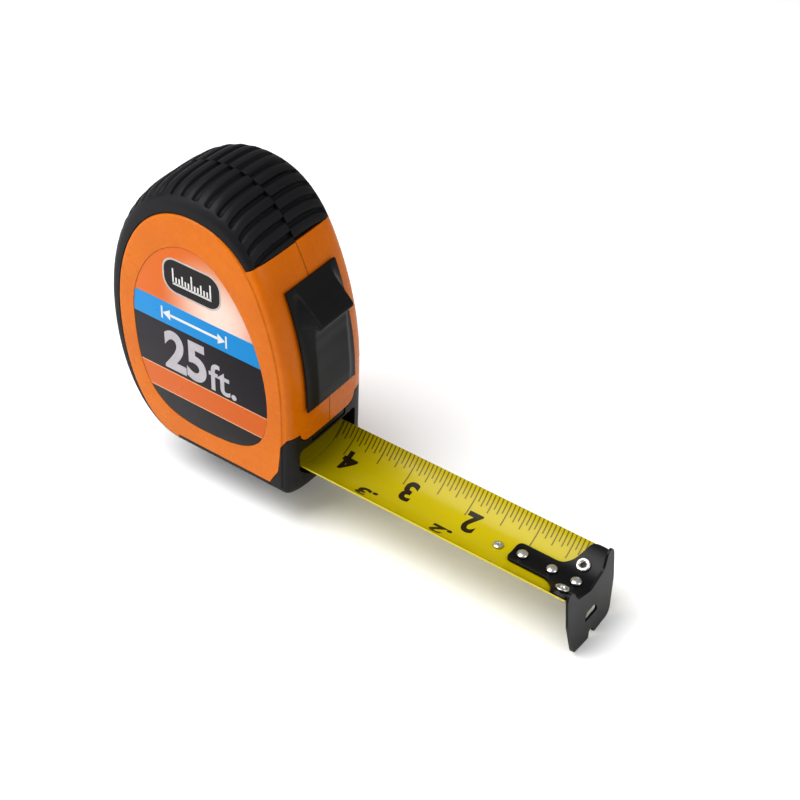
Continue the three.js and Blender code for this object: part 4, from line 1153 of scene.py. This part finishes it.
def nickel_plate():
    # Bright nickel on turned and set steel: mirror-like but crazed with setting marks, and a
    # little yellow where the plate is thin.
    nickel, shader = new_material("nickel_plated_steel")
    place = add(nickel, "TexCoord").outputs["Object"]
    cloud = add(nickel, "TexNoise", Vector=place, Scale=9 / (10 * MM), Detail=4.0)
    tone = add(nickel, "ValToRGB", Fac=cloud.outputs["Fac"])
    tone.color_ramp.elements[0].color = linear("b9b7b3")
    tone.color_ramp.elements[1].color = linear("e6e5e2")
    link(nickel, tone.outputs["Color"], shader.inputs["Base Color"])
    relief = add(nickel, "Bump", Height=cloud.outputs["Fac"], Strength=0.2, Distance=0.04 * MM)
    link(nickel, relief.outputs["Normal"], shader.inputs["Normal"])
    dull = add(nickel, "MapRange", Value=cloud.outputs["Fac"], To_Min=0.2, To_Max=0.38)
    link(nickel, dull.outputs["Result"], shader.inputs["Roughness"])
    shader.inputs["Metallic"].default_value = 1.0
    return nickel


bright_nickel = nickel_plate()


def turned(name, profile, steps=40):
    """A solid turned about its own upright axis from (radius, height) points, axis to axis."""
    points, faces = [(0, 0, profile[0][1])], []
    rings = profile[1:-1]
    for radius, height in rings:
        for i in range(steps):
            turn = 2 * math.pi * i / steps
            points.append((radius * math.cos(turn), radius * math.sin(turn), height))
    points.append((0, 0, profile[-1][1]))
    last = len(points) - 1
    for i in range(steps):
        j = (i + 1) % steps
        faces.append((0, 1 + j, 1 + i))
        for k in range(len(rings) - 1):
            a = 1 + k * steps
            faces.append((a + i, a + j, a + j + steps, a + i + steps))
        faces.append((last - steps + i, last - steps + j, last))
    return piece(name, points, faces, 40)


def turned_ring(name, profile, steps=40):
    """A turned solid with a bore: the profile closes on itself."""
    count = len(profile)
    points, faces = [], []
    for i in range(steps):
        turn = 2 * math.pi * i / steps
        points += [(r * math.cos(turn), r * math.sin(turn), h) for r, h in profile]
    for i in range(steps):
        a, b = i * count, ((i + 1) % steps) * count
        for k in range(count):
            n = (k + 1) % count
            faces.append((a + k, a + n, b + n, b + k))
    return piece(name, points, faces, 40)


def put(thing, matrix):
    thing.data.transform(matrix)
    thing.data.update()
    return thing


def upright_at(x, z):
    return Matrix.Translation(Vector((x, 0, z)) * MM)


def dome(radius, start, rise, steps=7):
    """Profile points over a domed head, from its rim to its crown."""
    turns = [math.pi / 2 * i / steps for i in range(steps)]
    rim_up = [(radius * math.cos(t), start + rise * math.sin(t)) for t in turns]
    return rim_up + [(0, start + rise)]


for index in (1, 2, 3):
    low, high = box_mm(f"hook_rivet_{index}")
    rivet = turned(f"tongue_rivet_{index}", [
        (0, -1.28), (1.7, -1.28), (2.0, -1.1), (2.1, -0.9), (2.1, -0.8), (1.2, -0.8), (1.2, 1.5),
        (1.9, 1.5), *dome(2.0, 1.75, 0.93),
    ])
    put(rivet, upright_at((low.x + high.x) / 2, BLADE_BOTTOM_Z))
    finish_piece(rivet, bright_nickel, "tip", "steel_bright", f"hook_rivet_{index}")

low, high = box_mm("blade_rivet")
stop_rivet = turned("blade_stop_rivet", [
    (0, -1.38), (1.6, -1.38), (1.8, -1.2), (1.8, -0.8), (1.2, -0.8), (1.2, 0.3), (1.72, 0.3),
    (1.8, 0.45), (1.7, 0.75), (1.2, 1.0), (0.75, 1.06), (0.6, 0.9), (0, 0.85),
])
put(stop_rivet, upright_at((low.x + high.x) / 2, BLADE_BOTTOM_Z))
finish_piece(stop_rivet, bright_nickel, "tip", "steel_bright", "blade_rivet")

EYELET_SIDE = 7.3
for word in ("left", "right"):
    low, high = box_mm(f"hook_eyelet_{word}")
    across_y = EYELET_SIDE if low.y + high.y > 0 else -EYELET_SIDE
    eyelet = turned_ring(f"shoulder_eyelet_{word}", [
        (0.85, -1.45), (2.15, -1.45), (2.28, -1.2), (2.28, -0.9), (1.5, -0.9), (1.5, 1.5),
        (2.4, 1.5), (2.5, 1.75), (2.42, 2.05), (2.15, 2.24), (1.8, 2.3), (1.4, 2.2), (1.1, 2.0),
        (0.9, 1.7),
    ])
    tilt = math.asin(across_y / BLADE_RADIUS)
    height = BLADE_BOTTOM_Z + BLADE_RADIUS * (1 - math.cos(tilt))
    centre = Vector(((low.x + high.x) / 2, across_y, height)) * MM
    put(eyelet, Matrix.Translation(centre) @ Matrix.Rotation(tilt, 4, "X"))
    finish_piece(eyelet, bright_nickel, "tip", "steel_bright", f"hook_eyelet_{word}")

# ------------------------------------------------------------------ belt clip and screws
# A sprung steel clip on the plain side, blackened like the hook, held by one cross-head screw.
# Three more screws, sunk in wells, hold the two mouldings together.
CLIP_LOW, CLIP_HIGH = box_mm("belt_clip")
CLIP_THICKNESS = 1.2
CLIP_GAP = 4.6
CLIP_MIDDLE_X = (CLIP_LOW.x + CLIP_HIGH.x) / 2


def clip_line():
    """The middle of the clip's sheet, from the pad's lower end over the fold to the curled toe."""
    pad = HALF_WIDTH + 0.3 + CLIP_THICKNESS / 2
    arm = pad + CLIP_THICKNESS + CLIP_GAP
    top, low, bend = CLIP_HIGH.z - CLIP_THICKNESS / 2, CLIP_LOW.z, 2.0
    line = [(pad, top - 13.2 + i * 2.2) for i in range(6)]
    for i in range(1, 7):
        turn = math.pi / 2 * i / 6
        line.append((pad + bend - bend * math.cos(turn), top - bend + bend * math.sin(turn)))
    for i in range(7):
        turn = math.pi / 2 * (1 - i / 6)
        line.append((arm - bend + bend * math.cos(turn), top - bend + bend * math.sin(turn)))
    line += [(arm, z) for z in (top - 10, top - 20, top - 30, low + 20, low + 17, low + 15)]
    toe = bezier((
        (arm, low + 15), (arm - 0.6, low + 10), (arm - 3.4, low + 8), (arm + 0.7, low + 0.5)))
    return line + [tuple(toe(i / 10)) for i in range(1, 11)]


def belt_clip():
    line = [Vector(p) for p in clip_line()]
    half, rings = (CLIP_HIGH.x - CLIP_LOW.x) / 2, []
    section = eased([(-1, -1), (1, -1), (1, 1), (-1, 1)], 0.3, 3)
    for i, centre in enumerate(line):
        along = (line[min(i + 1, len(line) - 1)] - line[max(i - 1, 0)]).normalized()
        normal = Vector((along.y, -along.x))
        left = len(line) - 1 - i
        taper = 1 - 0.22 * max(0, 1 - left / 9) ** 2 - (0.1 if i == 0 else 0)
        ring = []
        for u, w in section:
            x = CLIP_MIDDLE_X + u * half * taper
            spot = centre + normal * (w * CLIP_THICKNESS / 2)
            ring.append((x, spot.x, spot.y))
        rings.append(ring)
    return loft("belt_clip_strip", rings, 50)


clip = belt_clip()
low, high = box_mm("clip_screw")
CLIP_SCREW_Z = (low.z + high.z) / 2
clip_hole = across("clip_hole", ring_points(1.5, CLIP_MIDDLE_X, CLIP_SCREW_Z), 20, 23.2)
carve(clip, [clip_hole])
clip.data.materials.clear()
clip.data.materials.append(steel_black)
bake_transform(clip)
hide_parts("belt_clip")


def cross_screw(name, head_radius, head_top, shank_low):
    """A cross-head screw on an upright axis with its head's top at head_top."""
    screw = turned(name, [
        (0, shank_low), (1.0, shank_low), (1.2, shank_low + 0.5), (1.2, head_top - 1.4),
        (head_radius - 0.1, head_top - 1.4), (head_radius, head_top - 1.2),
        (head_radius, head_top - 0.6), (head_radius * 0.86, head_top - 0.22),
        (head_radius * 0.55, head_top - 0.05), (0, head_top),
    ])
    for wide, deep in ((0.42, 1.5), (1.5, 0.42)):
        corners = ((-wide, -deep), (wide, -deep), (wide, deep), (-wide, deep))
        arm_cut = loft("cross", [
            [(x * s, y * s, z) for x, y in corners]
            for s, z in ((0.45, head_top - 1.0), (1.0, head_top + 0.3))])
        carve(screw, [arm_cut])
    return screw


side_facing = Matrix.Rotation(-math.pi / 2, 4, "X")
for index, (x, z) in enumerate(screw_places, 1):
    screw = cross_screw(f"shell_screw_{index}", 2.2, HALF_WIDTH - 0.55, -11.8)
    put(screw, Matrix.Translation(Vector((x, 0, z)) * MM) @ side_facing)
    finish_piece(screw, bright_nickel, "case", "steel_bright", f"case_screw_{index}")

pad_screw = cross_screw("belt_clip_screw", 2.2, high.y, low.y)
put(pad_screw, Matrix.Translation(Vector((CLIP_MIDDLE_X, 0, CLIP_SCREW_Z)) * MM) @ side_facing)
finish_piece(pad_screw, bright_nickel, "case", "steel_bright", "clip_screw")

# ------------------------------------------------------------------ works inside the case
# The drum, spring, axle, washers, brake and wound blade are hardly seen through the mouth and
# keep the shapes they were designed with; each has the finish of its own material.


def natural_acetal():
    # Natural acetal, turned or moulded: waxy off-white, faintly mottled, with a soft gloss.
    acetal, shader = new_material("natural_acetal")
    place = add(acetal, "TexCoord").outputs["Object"]
    cloud = add(acetal, "TexNoise", Vector=place, Scale=7 / (100 * MM), Detail=4.0)
    tone = add(acetal, "ValToRGB", Fac=cloud.outputs["Fac"])
    tone.color_ramp.elements[0].color = linear("dddacf")
    tone.color_ramp.elements[1].color = linear("ecebe4")
    link(acetal, tone.outputs["Color"], shader.inputs["Base Color"])
    gloss = add(acetal, "MapRange", Value=cloud.outputs["Fac"], To_Min=0.35, To_Max=0.5)
    link(acetal, gloss.outputs["Result"], shader.inputs["Roughness"])
    shader.inputs["Subsurface Weight"].default_value = 0.05
    return acetal


def rolled_spring_steel():
    # Blued spring strip: a grey-blue temper colour with wavering roll lines about 2.5 mm apart,
    # coarser than real ones, to show.
    steel, shader = new_material("rolled_spring_steel")
    place = add(steel, "TexCoord").outputs["Object"]
    lines = add(steel, "TexWave", {"bands_direction": "Y"}, Vector=place, Scale=1 / (8 * MM),
                Distortion=1.5, Detail=3.0)
    tone = add(steel, "ValToRGB", Fac=lines.outputs["Fac"])
    tone.color_ramp.elements[0].color = linear("6f737c")
    tone.color_ramp.elements[1].color = linear("8d919b")
    link(steel, tone.outputs["Color"], shader.inputs["Base Color"])
    dull = add(steel, "MapRange", Value=lines.outputs["Fac"], To_Min=0.25, To_Max=0.4)
    link(steel, dull.outputs["Result"], shader.inputs["Roughness"])
    shader.inputs["Metallic"].default_value = 1.0
    return steel


inner_looks = {
    natural_acetal(): ("drum", "drum_cover", "brake_arm"),
    rolled_spring_steel(): ("mainspring", "axle_post", "washer_left", "washer_right"),
    rubber_black: ("brake_pad",),
    blade_yellow: ("blade_inner_run", "blade_coil"),
}
for look, names in inner_looks.items():
    for name in names:
        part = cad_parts[name]
        part.data.materials.clear()
        part.data.materials.append(look)
